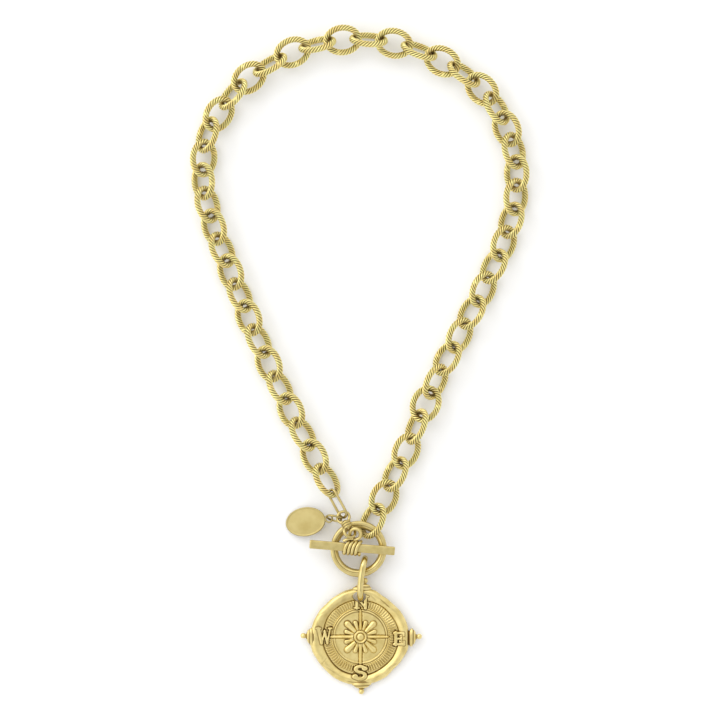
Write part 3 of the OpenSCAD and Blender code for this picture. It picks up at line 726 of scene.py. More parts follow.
def petal_relief(h, shade_and_wear, x, y, r, angle, big):
    """Raises the petals between the rays, each a lobe that widens outwards, with a painted shadow line round
    it that is darkest at its tip and towards the upper left.
    """
    lobes, tips = np.zeros_like(h), np.zeros_like(h)
    edge = np.full_like(h, big)
    for quarter in QUARTERS:
        for off, reach, half, tall in PETALS:
            u, v = turned(x, y, quarter + off)
            end = reach * big - half
            widening = np.clip((u - PETAL_ROOT) / (end - PETAL_ROOT), 0, 1)
            w = half * (PETAL_NECK + (1 - PETAL_NECK) * widening)
            d = np.hypot(np.where(u > end, u - end, np.minimum(u - PETAL_ROOT, 0)), v)
            lobes = np.maximum(lobes, tall * arch(d, w))
            edge = np.minimum(edge, d - w)
            tips = np.maximum(tips, ease(0.45, 0.85, u / (reach * big)) * (np.abs(v) < w + 0.4))
    # Painted shadow line round each petal, darkest at the tips and towards the upper left
    bite = 0.5 + 0.45 * np.cos(angle - 2.4)
    outside = ease(PETAL_ROOT, PETAL_ROOT + 0.6, r)
    return h + lobes, shade_and_wear + (0.12 + bite * tips) * line(edge, PETAL_LINE) * outside


def ray_relief(h, shade_and_wear, x, y, big, face):
    """Raises the four rays: half-round bars, drawn in at the tip, with a painted shadow line beside them."""
    start, past = RAY_SIDE
    depth, off, width = RAY_CUT
    for way, half, tip_half, reach in RAYS:
        u, v = turned(x, y, way)
        v = np.abs(v)
        end = reach * big
        drawn_in = np.sqrt(np.clip((end - u) / RAY_TIP, 0, 1))
        w = (half + (tip_half - half) * np.clip(u / end, 0, 1)) * drawn_in
        out = v / np.maximum(w, 1e-6)
        on = (u > 0) & (v < w)
        roof = np.clip(1 - out, 0, 1) ** RAY_ROOF
        h = np.where(on, np.maximum(h, face + (RAY_HEIGHT - RAY_FALL * u / end) * roof), h)
        beside = (u > start) & (u < end + past)
        h -= depth * line(v - w - off, width) * (~on) * beside
        # Painted shadow line beside each ray; the ray's own top is kept clear of painted shade
        shade_and_wear = np.where(on, shade_and_wear * ease(0.75, 1.0, out), shade_and_wear) + 0.75 * line(v - w, DARK_LINE) * beside
    return h, shade_and_wear


def boss_relief(h, shade_and_wear, r, face):
    """Raises the boss: a ring with a low dome in it, and paints shadow lines round the dome and round the
    boss.
    """
    ring_radius, ring_half, ring_tall = BOSS_RING
    dome_radius, dome_foot, dome_tall = BOSS_DOME
    ring = face + ring_tall * arch(r - ring_radius, ring_half)
    dome = face + dome_foot + dome_tall * arch(r, dome_radius)
    h = np.where(r < BOSS_EDGE, np.maximum(np.where(r < DOME_EDGE, dome, face + 0.3), ring), h)
    shade_and_wear = np.where(r < BOSS_EDGE, 0.7 * line(r - dome_radius, 0.14), shade_and_wear)
    return h, shade_and_wear + 0.7 * line(r - 2.5, DARK_LINE)


def arc(middle_y, half_wide, half_tall, start, end):
    """Points of a letter's oval arc, by angles in degrees."""
    step = math.copysign(25, end - start)
    angles = np.radians(np.arange(start, end, step))
    return list(zip(half_wide * np.cos(angles), middle_y + half_tall * np.sin(angles)))


# Each letter is a list of strokes: half the thickness, then its points, as shares of the letter's height
LETTER_N = [
    (0.09, [(-0.31, -0.48), (-0.31, 0.48)]), (0.09, [(0.31, -0.48), (0.31, 0.48)]),
    (0.07, [(-0.34, 0.44), (0.33, -0.44)]), (0.055, [(-0.5, -0.45), (-0.14, -0.45)]),
    (0.055, [(-0.54, 0.45), (-0.2, 0.45)]), (0.055, [(0.14, 0.45), (0.5, 0.45)]),
]
LETTER_E = [
    (0.105, [(-0.27, -0.46), (-0.27, 0.46)]), (0.075, [(-0.42, 0.43), (0.34, 0.43)]),
    (0.07, [(-0.27, 0.0), (0.16, 0.0)]), (0.075, [(-0.42, -0.43), (0.36, -0.43)]),
    (0.06, [(0.34, 0.24), (0.34, 0.45)]), (0.06, [(0.37, -0.45), (0.37, -0.2)]),
    (0.055, [(0.17, -0.1), (0.17, 0.1)]),
]
LETTER_W = [
    (0.09, [(-0.47, 0.44), (-0.23, -0.44)]), (0.065, [(-0.23, -0.44), (0.0, 0.26)]),
    (0.09, [(0.0, 0.26), (0.23, -0.44)]), (0.065, [(0.23, -0.44), (0.47, 0.44)]),
    (0.05, [(-0.62, 0.45), (-0.32, 0.45)]), (0.05, [(0.32, 0.45), (0.62, 0.45)]),
]
LETTER_S = [
    (0.085, arc(0.235, 0.22, 0.21, 20, 271)), (0.085, arc(-0.225, 0.25, 0.235, 95, -156)),
    (0.12, [(0.23, 0.27), (0.23, 0.29)]), (0.12, [(-0.25, -0.3), (-0.25, -0.28)]),
]
# Each letter: its strokes, its middle as shares of the radius, how wide and how tall it is for its size
LETTERS = [(LETTER_N, 0.015, 0.727, 0.95, 0.86), (LETTER_E, 0.805, -0.036, 0.84, 0.9),
           (LETTER_S, -0.006, -0.743, 1.36, 0.94), (LETTER_W, -0.745, 0.027, 0.8, 1.12)]
# How much thicker the casting made the strokes, and how far from a letter's middle they are looked for
LETTER_WEIGHT = 1.36
LETTER_REACH = 1.1
# Top of the letters as a share of the rim's height, and how far their edges are rounded, in millimetres
LETTER_TOP = 0.99
LETTER_ROUND = 0.16
# How far outside a letter's line its wall still rises, in millimetres
LETTER_EDGE = 0.06
# Cut round a letter in millimetres: depth, how far off its middle is, width
LETTER_CUT = (0.12, 0.16, 0.1)


def from_stroke(x, y, points, half):
    """How far each place is outside a stroke of half a thickness along a line of points."""
    best = np.full(np.shape(x), np.inf)
    for (ax, ay), (bx, by) in zip(points, points[1:]):
        dx, dy = bx - ax, by - ay
        t = np.clip(((x - ax) * dx + (y - ay) * dy) / (dx * dx + dy * dy), 0, 1)
        best = np.minimum(best, np.hypot(x - ax - t * dx, y - ay - t * dy))
    return best - half


def letter_relief(h, shade_and_wear, x, y, big, rim, size):
    """Raises the letters on the card and on the rim's foot, with a painted shadow line round them."""
    depth, off, width = LETTER_CUT
    for strokes, cx, cy, wide, high in LETTERS:
        u, v = (x - cx * big) / size / wide, (y - cy * big) / size / high
        d = np.full_like(h, big)
        near = np.hypot(u, v) < LETTER_REACH
        for half, points in strokes:
            d[near] = np.minimum(d[near], from_stroke(u[near], v[near], points, half * LETTER_WEIGHT))
        d *= size
        top = rim * LETTER_TOP - LETTER_ROUND * ease(-0.45, 0, d)
        h = np.where(d < LETTER_EDGE, np.maximum(h, h + (top - h) * ease(LETTER_EDGE, -0.08, d)), h)
        h -= depth * line(d - off, width) * (d > LETTER_EDGE)
        # Painted shadow line round each letter; the letter's top is kept clear of painted shade
        shade_and_wear = np.where(d < 0, shade_and_wear * ease(-0.16, 0, d), shade_and_wear) + 0.95 * line(d - 0.08, 0.16)
    return h, shade_and_wear


def compass_relief(r, angle, pendant):
    """Height of the pendant's front above its back in millimetres, and how dark it is painted (painted shade
    and shadow, and worn blotches on the rim), at polar places.
    """
    big, rim = pendant.disc / 2 / MM, pendant.rim / MM
    face = RIM_SECTION[0][1] * rim
    x, y = r * np.cos(angle), r * np.sin(angle)
    h, shade_and_wear = rim_relief(r / big, angle, rim)
    h, shade_and_wear = crease_relief(h, shade_and_wear, x, y, big)
    h, shade_and_wear = card_relief(h, shade_and_wear, r / big, angle, pendant.ticks)
    h, shade_and_wear = petal_relief(h, shade_and_wear, x, y, r, angle, big)
    h, shade_and_wear = ray_relief(h, shade_and_wear, x, y, big, face)
    h, shade_and_wear = boss_relief(h, shade_and_wear, r, face)
    h, shade_and_wear = letter_relief(h, shade_and_wear, x, y, big, rim, pendant.letter / MM)
    return h, np.clip(shade_and_wear, 0, 1)


# Pendant's disc and finials

# Rows of the relief from the middle outwards: start, end and step, in millimetres
ROSE_ROWS = [(0.25, 4.0, 0.12), (4.0, 9.0, 0.115)]
# The same for the ticks, whose end is a share of the radius, and for the rim, all in shares of the radius
TICK_ROWS = (9.0, 0.76, 0.125)
RIM_ROWS = (0.802, 0.996, 0.0085)
# Rows at the rim's foot, as shares of the radius
FOOT_ROWS = (0.762, 0.768, 0.773, 0.778, 0.784, 0.787, 0.79, 0.795)
# Points round a row: how many, from which radius in millimetres on
ROW_POINTS = [(576, 8.9), (288, 3.9), (144, 0)]
# Where the rows start and end to follow the outline, as shares of the radius
OUTLINE_FOLLOWED = (0.78, 0.93)
# Side and back of the disc below the rim: share of the radius, share of the rim's height, points round it
SIDE_SECTION = [
    (1.004, 0.46, 576), (1.003, 0.34, 576), (0.995, 0.2, 576), (0.975, 0.08, 576), (0.945, 0.02, 288),
    (0.91, 0.0, 144), (0.8, 0.0, 144), (0.6, 0.0, 72), (0.35, 0.0, 36), (0.12, 0.0, 18),
]
# Each finial: directions of its root and of its ball, the ball's share of the radius, share of the width
FINIALS = [(89.5, 85.3, 1.18, 1.0), (-1.2, 0.3, 1.225, 1.0), (272, 271, 1.15, 1.05),
           (180.6, 178.9, 1.192, 0.97)]
# Turned section of a finial: share of the radius inwards from the ball, share of the width, how dark it is
# painted, as painted shade at its root and in its narrow necks
FINIAL_SECTION = [
    (0.218, 0.4, 1.0), (0.2, 0.43, 1.0), (0.192, 0.47, 0.8), (0.184, 0.5, 0.1), (0.172, 0.505, 0.0),
    (0.15, 0.5, 0.05), (0.138, 0.49, 0.3), (0.131, 0.465, 0.95), (0.126, 0.43, 1.0), (0.12, 0.405, 0.9),
    (0.114, 0.4, 0.3), (0.106, 0.385, 0.0), (0.094, 0.34, 0.0), (0.082, 0.27, 0.1), (0.074, 0.2, 0.5),
    (0.067, 0.155, 1.0), (0.061, 0.14, 1.0), (0.055, 0.145, 0.6), (0.045, 0.12, 0.0), (0.03, 0.1, 0.0),
]
# Corners round a finial, rows and corners of a ball
FINIAL_SIDES = 64
BALL_ROWS = 17
BALL_SIDES = 32
# Depth of a finial as a share of its width where it is thinnest, and how fast that share falls with the width
FINIAL_DEPTH = (0.62, 0.48)
# Height of the finials' middle above the back, as a share of the rim's height
FINIAL_LIFT = 0.6
# The hole's cutter below and above the back in millimetres, and how dark the hole's wall is painted, as
# painted shade
CUTTER_REACH = (-3, 6)
HOLE_SHADE = 0.7
# Fewer faces than this after the cut show that it went wrong
LEAST_FACES = 1000


def stitch(a, b):
    """Faces between two rings of point numbers, where b has as many points as a or half of them."""
    after_b = np.roll(b, -1)
    if len(a) == len(b):
        return [np.stack([a, b, after_b, np.roll(a, -1)], -1)]
    even, odd, after = a[0::2], a[1::2], np.roll(a[0::2], -1)
    return [np.stack(corners, -1) for corners in ((even, b, odd), (odd, b, after_b), (odd, after_b, after))]


def relief_rows(big):
    """Radii of the relief's rows in millimetres, from the rim inwards."""
    start, end, step = TICK_ROWS
    stretches = [np.arange(*row) for row in ROSE_ROWS] + [np.arange(start, big * end, step)]
    stretches += [big * np.array(FOOT_ROWS), big * np.arange(*RIM_ROWS), [big]]
    return np.concatenate(stretches)[::-1]


def cast_disc(pendant):
    """Points, faces and painted darkness of the disc (painted shade and shadow, and worn blotches on the
    rim): the front in relief, the rounded side and the plain back.
    """
    big, rim = pendant.disc / 2 / MM, pendant.rim / MM
    points, shades_and_wear, rings, count = [], [], [], 0

    def add_ring(radius, angle, height):
        nonlocal count
        points.append(np.stack([radius * np.cos(angle), radius * np.sin(angle), height], 1))
        rings.append(count + np.arange(len(angle)))
        count += len(angle)

    for r in relief_rows(big):
        a = round_steps(next(number for number, least in ROW_POINTS if r > least))
        height, shade_and_wear = compass_relief(np.full(len(a), r), a, pendant)
        add_ring(r * (1 + (outline_at(a) - 1) * ease(*OUTLINE_FOLLOWED, r / big)), a, height)
        shades_and_wear.append(shade_and_wear)
    front = list(rings)
    top = compass_relief(np.zeros(1), np.zeros(1), pendant)[0]
    add_ring(np.zeros(1), np.zeros(1), top)
    for s, z, number in SIDE_SECTION:
        a = round_steps(number)
        add_ring(s * big * outline_at(a), a, np.full(number, z * rim))
    back = [front[0], *rings[len(front) + 1:]]
    add_ring(np.zeros(1), np.zeros(1), np.zeros(1))
    # The front's rows run inwards, so its faces are turned to look up
    faces = [f[:, ::-1] for a, b in zip(front, front[1:]) for f in stitch(a, b)]
    faces.append(fan(rings[len(front)][0], front[-1])[:, ::-1])
    faces += [f for a, b in zip(back, back[1:]) for f in stitch(a, b)]
    faces.append(fan(rings[-1][0], back[-1], flip=True)[:, ::-1])
    shades_and_wear = np.concatenate(shades_and_wear)
    return np.vstack(points), faces, np.pad(shades_and_wear, (0, count - len(shades_and_wear)))


def turned_solid(x, aside, half_wide, half_deep, tips, sides):
    """Points and faces of a solid of oval rows along X, moved aside row by row and closed at two tips."""
    t = round_steps(sides)
    y = np.broadcast_to(aside, len(x))[:, None] + np.outer(half_wide, np.cos(t))
    points = np.stack([np.repeat(x, sides), y.ravel(), np.outer(half_deep, np.sin(t)).ravel()], 1)
    return np.vstack([points, tips]), [skin(len(x), sides, False), *end_fans(len(x), sides)]


def ball(x, aside, radius):
    """Points and faces of a ball beside the X axis."""
    v = np.linspace(0, np.pi, BALL_ROWS + 2)[1:-1]
    half = radius * np.sin(v)
    tips = [[x - radius, aside, 0], [x + radius, aside, 0]]
    return turned_solid(x - radius * np.cos(v), aside, half, half, tips, BALL_SIDES)


def finial(pendant, reach, bend, width):
    """Points, faces and painted shade of one turned finial and its ball, along X, bent sideways by a share of
    the radius."""
    big = pendant.disc / 2 / MM
    inwards, wide, shades_and_wear = np.array(FINIAL_SECTION).T
    x = (reach - inwards) * big
    half = wide * (pendant.finial / MM * width)
    aside = bend * big * (1 - inwards / inwards[0])
    least, loss = FINIAL_DEPTH
    tips = [[x[0], 0, 0], [x[-1], aside[-1], 0]]
    stem = turned_solid(x, aside, half, half * (least - wide * loss), tips, FINIAL_SIDES)
    points, faces = join([stem, ball(reach * big, bend * big, pendant.ball / 2 / MM)])
    shades_and_wear = np.append(np.repeat(shades_and_wear, FINIAL_SIDES), [1, 0])
    return points, faces, np.pad(shades_and_wear, (0, len(points) - len(shades_and_wear)))


def cut_hole(disc, pendant, material, context):
    """Cuts the oval hole for the bail through the disc, and paints shade on its wall."""
    long, wide = np.array(pendant.hole) / MM
    points, faces = tube([(0, 0, end) for end in CUTTER_REACH], long, 64)
    points[:, 1] *= wide / long
    points = set_down(points + [*np.array(pendant.hole_place) / MM, 0], pendant.lean, pendant.middle)
    # Painted shade for the hole's wall, which the cut takes from the cutter
    shades_and_wear = np.full(len(points), HOLE_SHADE)
    cutter = make_piece("hole_cutter", points, faces, material, crease=40, painted_shade_and_wear=shades_and_wear)
    bite = disc.modifiers.new("hole", "BOOLEAN")
    bite.object = cutter
    bite.operation = "DIFFERENCE"
    bite.solver = "EXACT"
    cut = bpy.data.meshes.new_from_object(disc.evaluated_get(context.evaluated_depsgraph_get()))
    if len(cut.polygons) < LEAST_FACES:
        raise RuntimeError("the hole could not be cut")
    disc.modifiers.clear()
    disc.data = cut
    bpy.data.objects.remove(cutter)


class NECKLACE_OT_cast_pendant(bpy.types.Operator):
    """Casts the compass disc with its relief, finials and hole"""
    bl_idname = "necklace.cast_pendant"
    bl_label = "Cast the Pendant"

    def execute(self, context):
        pendant = context.scene.necklace_pendant
        # Painted light: the cast gold is a lighter copy of the same gold
        finish = gold_finish("cast_gold", rough=(0.28, 0.42), grain=0.5, grain_size=0.42, cloud_size=3.4,
                             nest=0.3, nest_reach=0.6, bump=0.045, paints_shade_and_wear=True, painted_brightness=1.16)
        points, faces, shades_and_wear = cast_disc(pendant)
        points = set_down(points, pendant.lean, pendant.middle)
        disc = make_piece("compass_relief", points, faces, finish, crease=60, painted_shade_and_wear=shades_and_wear)
        cut_hole(disc, pendant, finish, context)
        lift = [0, 0, pendant.rim / MM * FINIAL_LIFT]
        parts, darks = [], []
        for root, tip, reach, width in FINIALS:
            turn = math.radians(tip - root)
            points, faces, dark = finial(pendant, reach * math.cos(turn), reach * math.sin(turn), width)
            parts.append((points @ axes_of(aim(root)) + lift, faces))
            darks.append(dark)
        points, faces = join(parts)
        points = set_down(points, pendant.lean, pendant.middle)
        finials = make_piece("ball_finials", points, faces, finish, crease=60, painted_shade_and_wear=np.concatenate(darks))
        for cast in (disc, finials):
            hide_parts("compass_pendant")
        return {"FINISHED"}


# Toggle bar

# Rounding of the bar's long edges in millimetres
BAR_BEVEL = 0.38
# Rows at an end of the bar: how far in from the end, and how much is off each side, in millimetres
BAR_END = [(0, 0.34), (0.05, 0.2), (0.16, 0.07), (0.34, 0)]
# Rows along the rest of the bar: how far in from the end they begin, in millimetres, and how many there are
BAR_ROWS = (0.6, 40)
# Coil: gap between its turns in millimetres, where it starts and ends in turns, and steps to a turn
COIL_GAP = 0.06
COIL_RUN = (-0.5, -0.13)
COIL_STEPS = 48
# How far out the wire's middle lies over the bar's side and top, as a share of the wire
COIL_OFF = (0.64, 0.62)
# How square the coil is, where 2 is round, and its sway and shift along the bar in millimetres
COIL_POWER = 2.5
COIL_SWAY = 0.5
COIL_SHIFT = -0.35
# Solder between the turns: how thick it lies, over both sides, as a share of the wire
SOLDER_OVER = 0.7
# Eye on the coil: heading, pitch and roll in degrees, and its radius to the wire's middle in millimetres
BAR_EYE_WAY = (86, 17)
BAR_EYE_ROLL = -10
BAR_EYE_RADIUS = 1.975
# Root of the eye: how far from its middle and how much lower in millimetres, thickness as a share of the
# wire
EYE_ROOT = [(1.5, 0, 1.1), (2.1, 0.05, 1.25), (2.8, 0.25, 1.3), (3.5, 0.7, 1.1)]
# The wire's free end: along the bar, north and up from the bar's middle in millimetres, and its thickness
FREE_END = [(0.35, 3.2, 1.95), (-0.6, 3.3, 2.0), (-1.9, 2.8, 1.95), (-3.1, 2.05, 1.85)]
FREE_END_WIRE = 0.85
# Corners round the section of each wire on the bar
COIL_SIDES = 20


def bar_section(wide, tall):
    """Points round the bar's section, with rounded corners."""
    corner = np.radians(np.arange(0, 91, 18))
    section = []
    for sx, sy, turn in ((1, 1, 0), (-1, 1, 90), (-1, -1, 180), (1, -1, 270)):
        a = corner + math.radians(turn)
        y = sx * (wide / 2 - BAR_BEVEL) + BAR_BEVEL * np.cos(a)
        z = sy * (tall / 2 - BAR_BEVEL) + BAR_BEVEL * np.sin(a)
        section.append(np.stack([y, z], 1))
    return np.vstack(section)


def bar_body(size):
    """Points and faces of a bar with rounded edges and softly chamfered ends, along X."""
    long, wide, tall = size
    section = bar_section(wide, tall)
    inset, count = BAR_ROWS
    ends = [(-long / 2 + x, off) for x, off in BAR_END]
    rows = ends + [(x, 0) for x in np.linspace(-long / 2 + inset, long / 2 - inset, count)]
    rows += [(-x, off) for x, off in reversed(ends)]
    points = []
    for x, off in rows:
        y, z = section[:, 0] * (1 - 2 * off / wide), section[:, 1] * (1 - 2 * off / tall)
        points.append(np.stack([np.full(len(section), x), y, z], 1))
    points.append([[-long / 2, 0, 0], [long / 2, 0, 0]])
    return np.vstack(points), [skin(len(rows), len(section), False), *end_fans(len(rows), len(section))]


def wire_coil(size, wire, turns):
    """The coil round the bar, along X."""
    start, end = COIL_RUN
    t = np.linspace(start, turns + end, turns * COIL_STEPS + 1) * FULL_TURN
    wide, tall = size[1] / 2 + wire * COIL_OFF[0], size[2] / 2 + wire * COIL_OFF[1]
    c, s = np.cos(t), np.sin(t)
    bulge = (np.abs(s) ** COIL_POWER + np.abs(c) ** COIL_POWER) ** (-1 / COIL_POWER)
    x = (t / FULL_TURN - (turns - 1) / 2) * (wire + COIL_GAP) + COIL_SWAY * (s + s ** 2) + COIL_SHIFT
    return tube(np.stack([x, wide * s * bulge, tall * c * bulge], 1), wire, COIL_SIDES)


def coil_solder(size, wire, turns):
    """The solder that fills the coil from within, along X."""
    reach = (turns - 1) / 2 * (wire + COIL_GAP)
    wide, tall = size[1] + wire * SOLDER_OVER, size[2] + wire * SOLDER_OVER
    return tube([(x, 0, 0) for x in np.linspace(-reach, reach, 5)], wide, 32, squash=tall / wide)


def bar_eye(middle, wire):
    """The eye on the coil, and its root in the solder."""
    axes = axes_of(aim(*BAR_EYE_WAY), BAR_EYE_ROLL)
    ring = tube(circle_path(middle, axes, BAR_EYE_RADIUS), wire, COIL_SIDES, closed=True)
    root = [middle - axes[0] * away - [0, 0, drop] for away, drop, _ in EYE_ROOT]
    return [ring, tube(root, [wire * thick for _, _, thick in EYE_ROOT], COIL_SIDES)]


class NECKLACE_OT_coiled_bar(bpy.types.Operator):
    """Builds the toggle bar with the wire coil and the eye soldered on it"""
    bl_idname = "necklace.coiled_bar"
    bl_label = "Wind the Toggle Bar"

    def execute(self, context):
        clasp = context.scene.necklace_clasp
        # Painted shade: the bar's gold is a darker copy of the same gold
        bar_finish = gold_finish("brushed_bar_gold", rough=(0.3, 0.42), grain=0.5, grain_size=0.12,
                                 brushed=clasp.bar_heading, nest=0.6, painted_brightness=0.9)
        coil_finish = gold_finish("coil_wire_gold", rough=(0.24, 0.36), grain=0.2, grain_size=0.3, nest=0.85,
                                  nest_reach=0.9)
        middle, size = np.array(clasp.bar_middle) / MM, np.array(clasp.bar_size) / MM
        axes = axes_of(aim(math.degrees(clasp.bar_heading)))
        wire, turns = clasp.coil_wire / MM, clasp.coil_turns
        points, faces = bar_body(size)
        bar = make_piece("toggle_bar_body", points @ axes + middle, faces, bar_finish, crease=25)
        round_bar = (wire_coil(size, wire, turns), coil_solder(size, wire, turns))
        parts = [(points @ axes + middle, faces) for points, faces in round_bar]
        parts += bar_eye(np.array(clasp.bar_eye) / MM, wire)
        free = [middle + along * axes[0] + [0, aside, up] for along, aside, up in FREE_END]
        parts.append(tube(free, wire * FREE_END_WIRE, COIL_SIDES))
        points, faces = join(parts)
        wound = make_piece("bar_coil_and_eye", points, faces, coil_finish, crease=50)
        for piece in (bar, wound):
            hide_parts("toggle_bar")
        return {"FINISHED"}


# Toggle ring and bail

# Section of the ring's band: half width outwards from its middle, half height, how dark it is painted, as
# painted shade at the step on its top and round its edges
BAND_SECTION = [
    (1.0, 0.0, 0.0), (0.985, 0.3, 0.3), (0.93, 0.58, 0.1), (0.85, 0.8, 0.0), (0.74, 0.92, 0.0),
    (0.56, 0.965, 0.0), (0.3, 0.98, 0.0), (0.08, 0.975, 0.0), (0.0, 0.95, 0.2), (-0.05, 0.9, 0.85),
    (-0.1, 0.84, 0.85), (-0.16, 0.83, 0.15), (-0.32, 0.79, 0.0), (-0.52, 0.7, 0.0), (-0.7, 0.57, 0.0),
    (-0.84, 0.4, 0.15), (-0.94, 0.2, 0.6), (-0.99, 0.0, 0.7), (-0.96, -0.3, 0.5), (-0.82, -0.6, 0.2),
    (-0.55, -0.86, 0.0), (-0.2, -0.97, 0.0), (0.2, -0.97, 0.0), (0.6, -0.82, 0.0), (0.88, -0.5, 0.0),
]
# Waves of the worn top of the band, as for the rim but in shares of its half width
BAND_WAVES = [(0.07, 2, 1, 0), (0.03, 5, 0, 0)]
BAND_STEPS = 288
# Steps round each bent end of the bail and along its straights, and corners round its wire
BAIL_END_STEPS = 40
BAIL_SIDE_STEPS = 16
BAIL_SIDES = 40


class NECKLACE_OT_bevelled_ring(bpy.types.Operator):
    """Turns the toggle ring with a flat outer band and a bevel on its inside"""
    bl_idname = "necklace.bevelled_ring"
    bl_label = "Turn the Toggle Ring"

    def execute(self, context):
        ring = context.scene.necklace_ring
        finish = gold_finish("toggle_ring_gold", rough=(0.26, 0.38), grain=0.35, grain_size=0.35, nest=0.7,
                             paints_shade_and_wear=True)
        half_wide, half_tall = np.array(ring.band) / 2 / MM
        angle = round_steps(BAND_STEPS)[:, None]
        out, up, dark = np.array(BAND_SECTION).T
        worn = waves(BAND_WAVES, angle, 0) * (1 - out ** 2) * (up > 0)
        r = ring.across / 2 / MM - half_wide + half_wide * (out + worn)
        z = np.broadcast_to(half_tall * up, r.shape)
        points = np.stack([r * np.cos(angle), r * np.sin(angle), z], -1).reshape(-1, 3)
        points = set_down(points, ring.tilt, ring.middle)
        faces = [skin(BAND_STEPS, len(BAND_SECTION), True)[:, ::-1]]
        # Painted shade from the band's section darkens the step on its top and its edges
        piece = make_piece("bevelled_toggle_ring", points, faces, finish, crease=38,
                           painted_shade_and_wear=np.tile(dark, BAND_STEPS))
        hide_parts("toggle_ring")
        return {"FINISHED"}


class NECKLACE_OT_bent_bail(bpy.types.Operator):
    """Bends the bail from heavy wire, as long as the reach from the ring to the pendant's hole"""
    bl_idname = "necklace.bent_bail"
    bl_label = "Bend the Bail"

    def execute(self, context):
        bail = context.scene.necklace_bail
        finish = gold_finish("bail_gold", rough=(0.05, 0.11), grain=0.15, grain_size=0.3, nest=0.8)
        wire = bail.wire / MM
        reach, side = (np.array(bail.size) / MM - wire) / 2
        straight = reach - side
        a = np.linspace(-math.pi / 2, math.pi / 2, BAIL_END_STEPS)
        run = np.linspace(straight, -straight, BAIL_SIDE_STEPS)[1:-1]
        end = np.stack([straight + side * np.cos(a), side * np.sin(a)], 1)
        half = np.vstack([end, np.stack([run, np.full(len(run), side)], 1)])
        along, up = np.vstack([half, -half]).T
        aside = bail.bend / MM * (1 - (along / reach) ** 2)
        axes = axes_of(aim(math.degrees(bail.heading)))
        path = np.stack([along, aside, up], 1) @ axes + np.array(bail.middle) / MM
        points, faces = tube(path, wire, BAIL_SIDES, closed=True, up=(1, 0, 0))
        piece = make_piece("bent_bail", points, faces, finish, crease=60)
        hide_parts("bail_ring")
        return {"FINISHED"}


# Connector

# Radius of each eye to the wire's middle in millimetres, and rolls of the lower and the upper eye in degrees
EYE_RADIUS = 2.125
EYE_ROLLS = (32, -1)
# Wraps: turns, where they start in degrees, radius to the wire's middle in millimetres, steps
WRAP_TURNS = 3.5
WRAP_START = 200
WRAP_RADIUS = 1.33
WRAP_STEPS = 130
# Length of the wraps in pitches, the pitch as a share of the wire, and their place from the lower eye up
WRAP_LENGTH = 2.9
WRAP_PITCH = 1.02
WRAP_PLACE = 0.47
# Core in the wraps: place from their middle and thickness, in millimetres
WRAP_CORE = [(-1.8, 1.3), (-1.1, 2.4), (1.1, 2.4), (1.8, 1.3)]
# Corners round the connector's wire
WRAP_SIDES = 18


def wire_wraps(middle, axes, wire):
    """The wraps between the eyes, and the core that they lie on."""
    t = np.linspace(0, 1, WRAP_STEPS)
    a = t * WRAP_TURNS * FULL_TURN + math.radians(WRAP_START)
    along = (t - 0.5) * WRAP_LENGTH * wire * WRAP_PITCH
    out = np.cos(a)[:, None] * axes[1] + np.sin(a)[:, None] * axes[2]
    wraps = tube(middle + along[:, None] * axes[0] + WRAP_RADIUS * out, wire, WRAP_SIDES)
    core = [middle + axes[0] * place for place, _ in WRAP_CORE]
    return [wraps, tube(core, [thick for _, thick in WRAP_CORE], 24)]


class NECKLACE_OT_wrapped_connector(bpy.types.Operator):
    """Builds the connector: two wire eyes and the wraps between them"""
    bl_idname = "necklace.wrapped_connector"
    bl_label = "Wrap the Connector"

    def execute(self, context):
        clasp = context.scene.necklace_clasp
        # Painted shade: the connector's gold is a darker copy of the same gold
        finish = gold_finish("drawn_wire_gold", rough=(0.1, 0.2), grain=0.15, grain_size=0.3, nest=0.9,
                             painted_brightness=0.84)
        wire = clasp.eye_wire / MM
        low, top = np.array(clasp.low_eye) / MM, np.array(clasp.top_eye) / MM
        way = top - low
        parts = [tube(circle_path(eye, axes_of(way, roll), EYE_RADIUS), wire, WRAP_SIDES, closed=True)
                 for eye, roll in zip((low, top), EYE_ROLLS)]
        parts += wire_wraps(low * (1 - WRAP_PLACE) + top * WRAP_PLACE, axes_of(way), wire)
        points, faces = join(parts)
        piece = make_piece("wrapped_connector", points, faces, finish, crease=50)
        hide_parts("connector")
        return {"FINISHED"}


# Tag

# Section of the tag from its middle out and round to its back: share of the radius, share of the thickness up
TAG_SECTION = [
    (0.15, 0.44), (0.4, 0.44), (0.62, 0.43), (0.78, 0.41), (0.86, 0.385), (0.89, 0.375), (0.905, 0.42),
    (0.925, 0.49), (0.95, 0.5), (0.975, 0.47), (0.992, 0.36), (1.0, 0.2), (1.0, -0.2), (0.992, -0.36),
    (0.975, -0.45), (0.93, -0.5), (0.6, -0.5), (0.2, -0.5),
]
TAG_STEPS = 144
# Tag's eye: outside and inside diameter in millimetres, steps round it and round its band
TAG_EYE = (3.1, 1.85)
TAG_EYE_STEPS = (64, 16)
# How square the eye's band is, where 1 is round
TAG_EYE_POWER = 0.8
# How far from the eye's middle the tag starts, as a share of the eye
TAG_NECK = 0.43
# Heading and pitch of the tag, and its roll, in degrees
TAG_WAY = (188, -13.36)
TAG_ROLL = 8


def tag_plate(size, neck):
    """Points and faces of a bare oval plate with a soft border, from a neck's length along X."""
    long, wide, thick = size
    middle = neck + long / 2
    t = round_steps(TAG_STEPS)
    rows = []
    for share, z in TAG_SECTION:
        x, y = middle + share * long / 2 * np.cos(t), share * wide / 2 * np.sin(t)
        rows.append(np.stack([x, y, np.full(TAG_STEPS, z * thick)], 1))
    rows.append([[middle, 0, TAG_SECTION[0][1] * thick], [middle, 0, -thick / 2]])
    count = len(TAG_SECTION)
    faces = [f[:, ::-1] for f in (skin(count, TAG_STEPS, False), *end_fans(count, TAG_STEPS))]
    return np.vstack(rows), faces


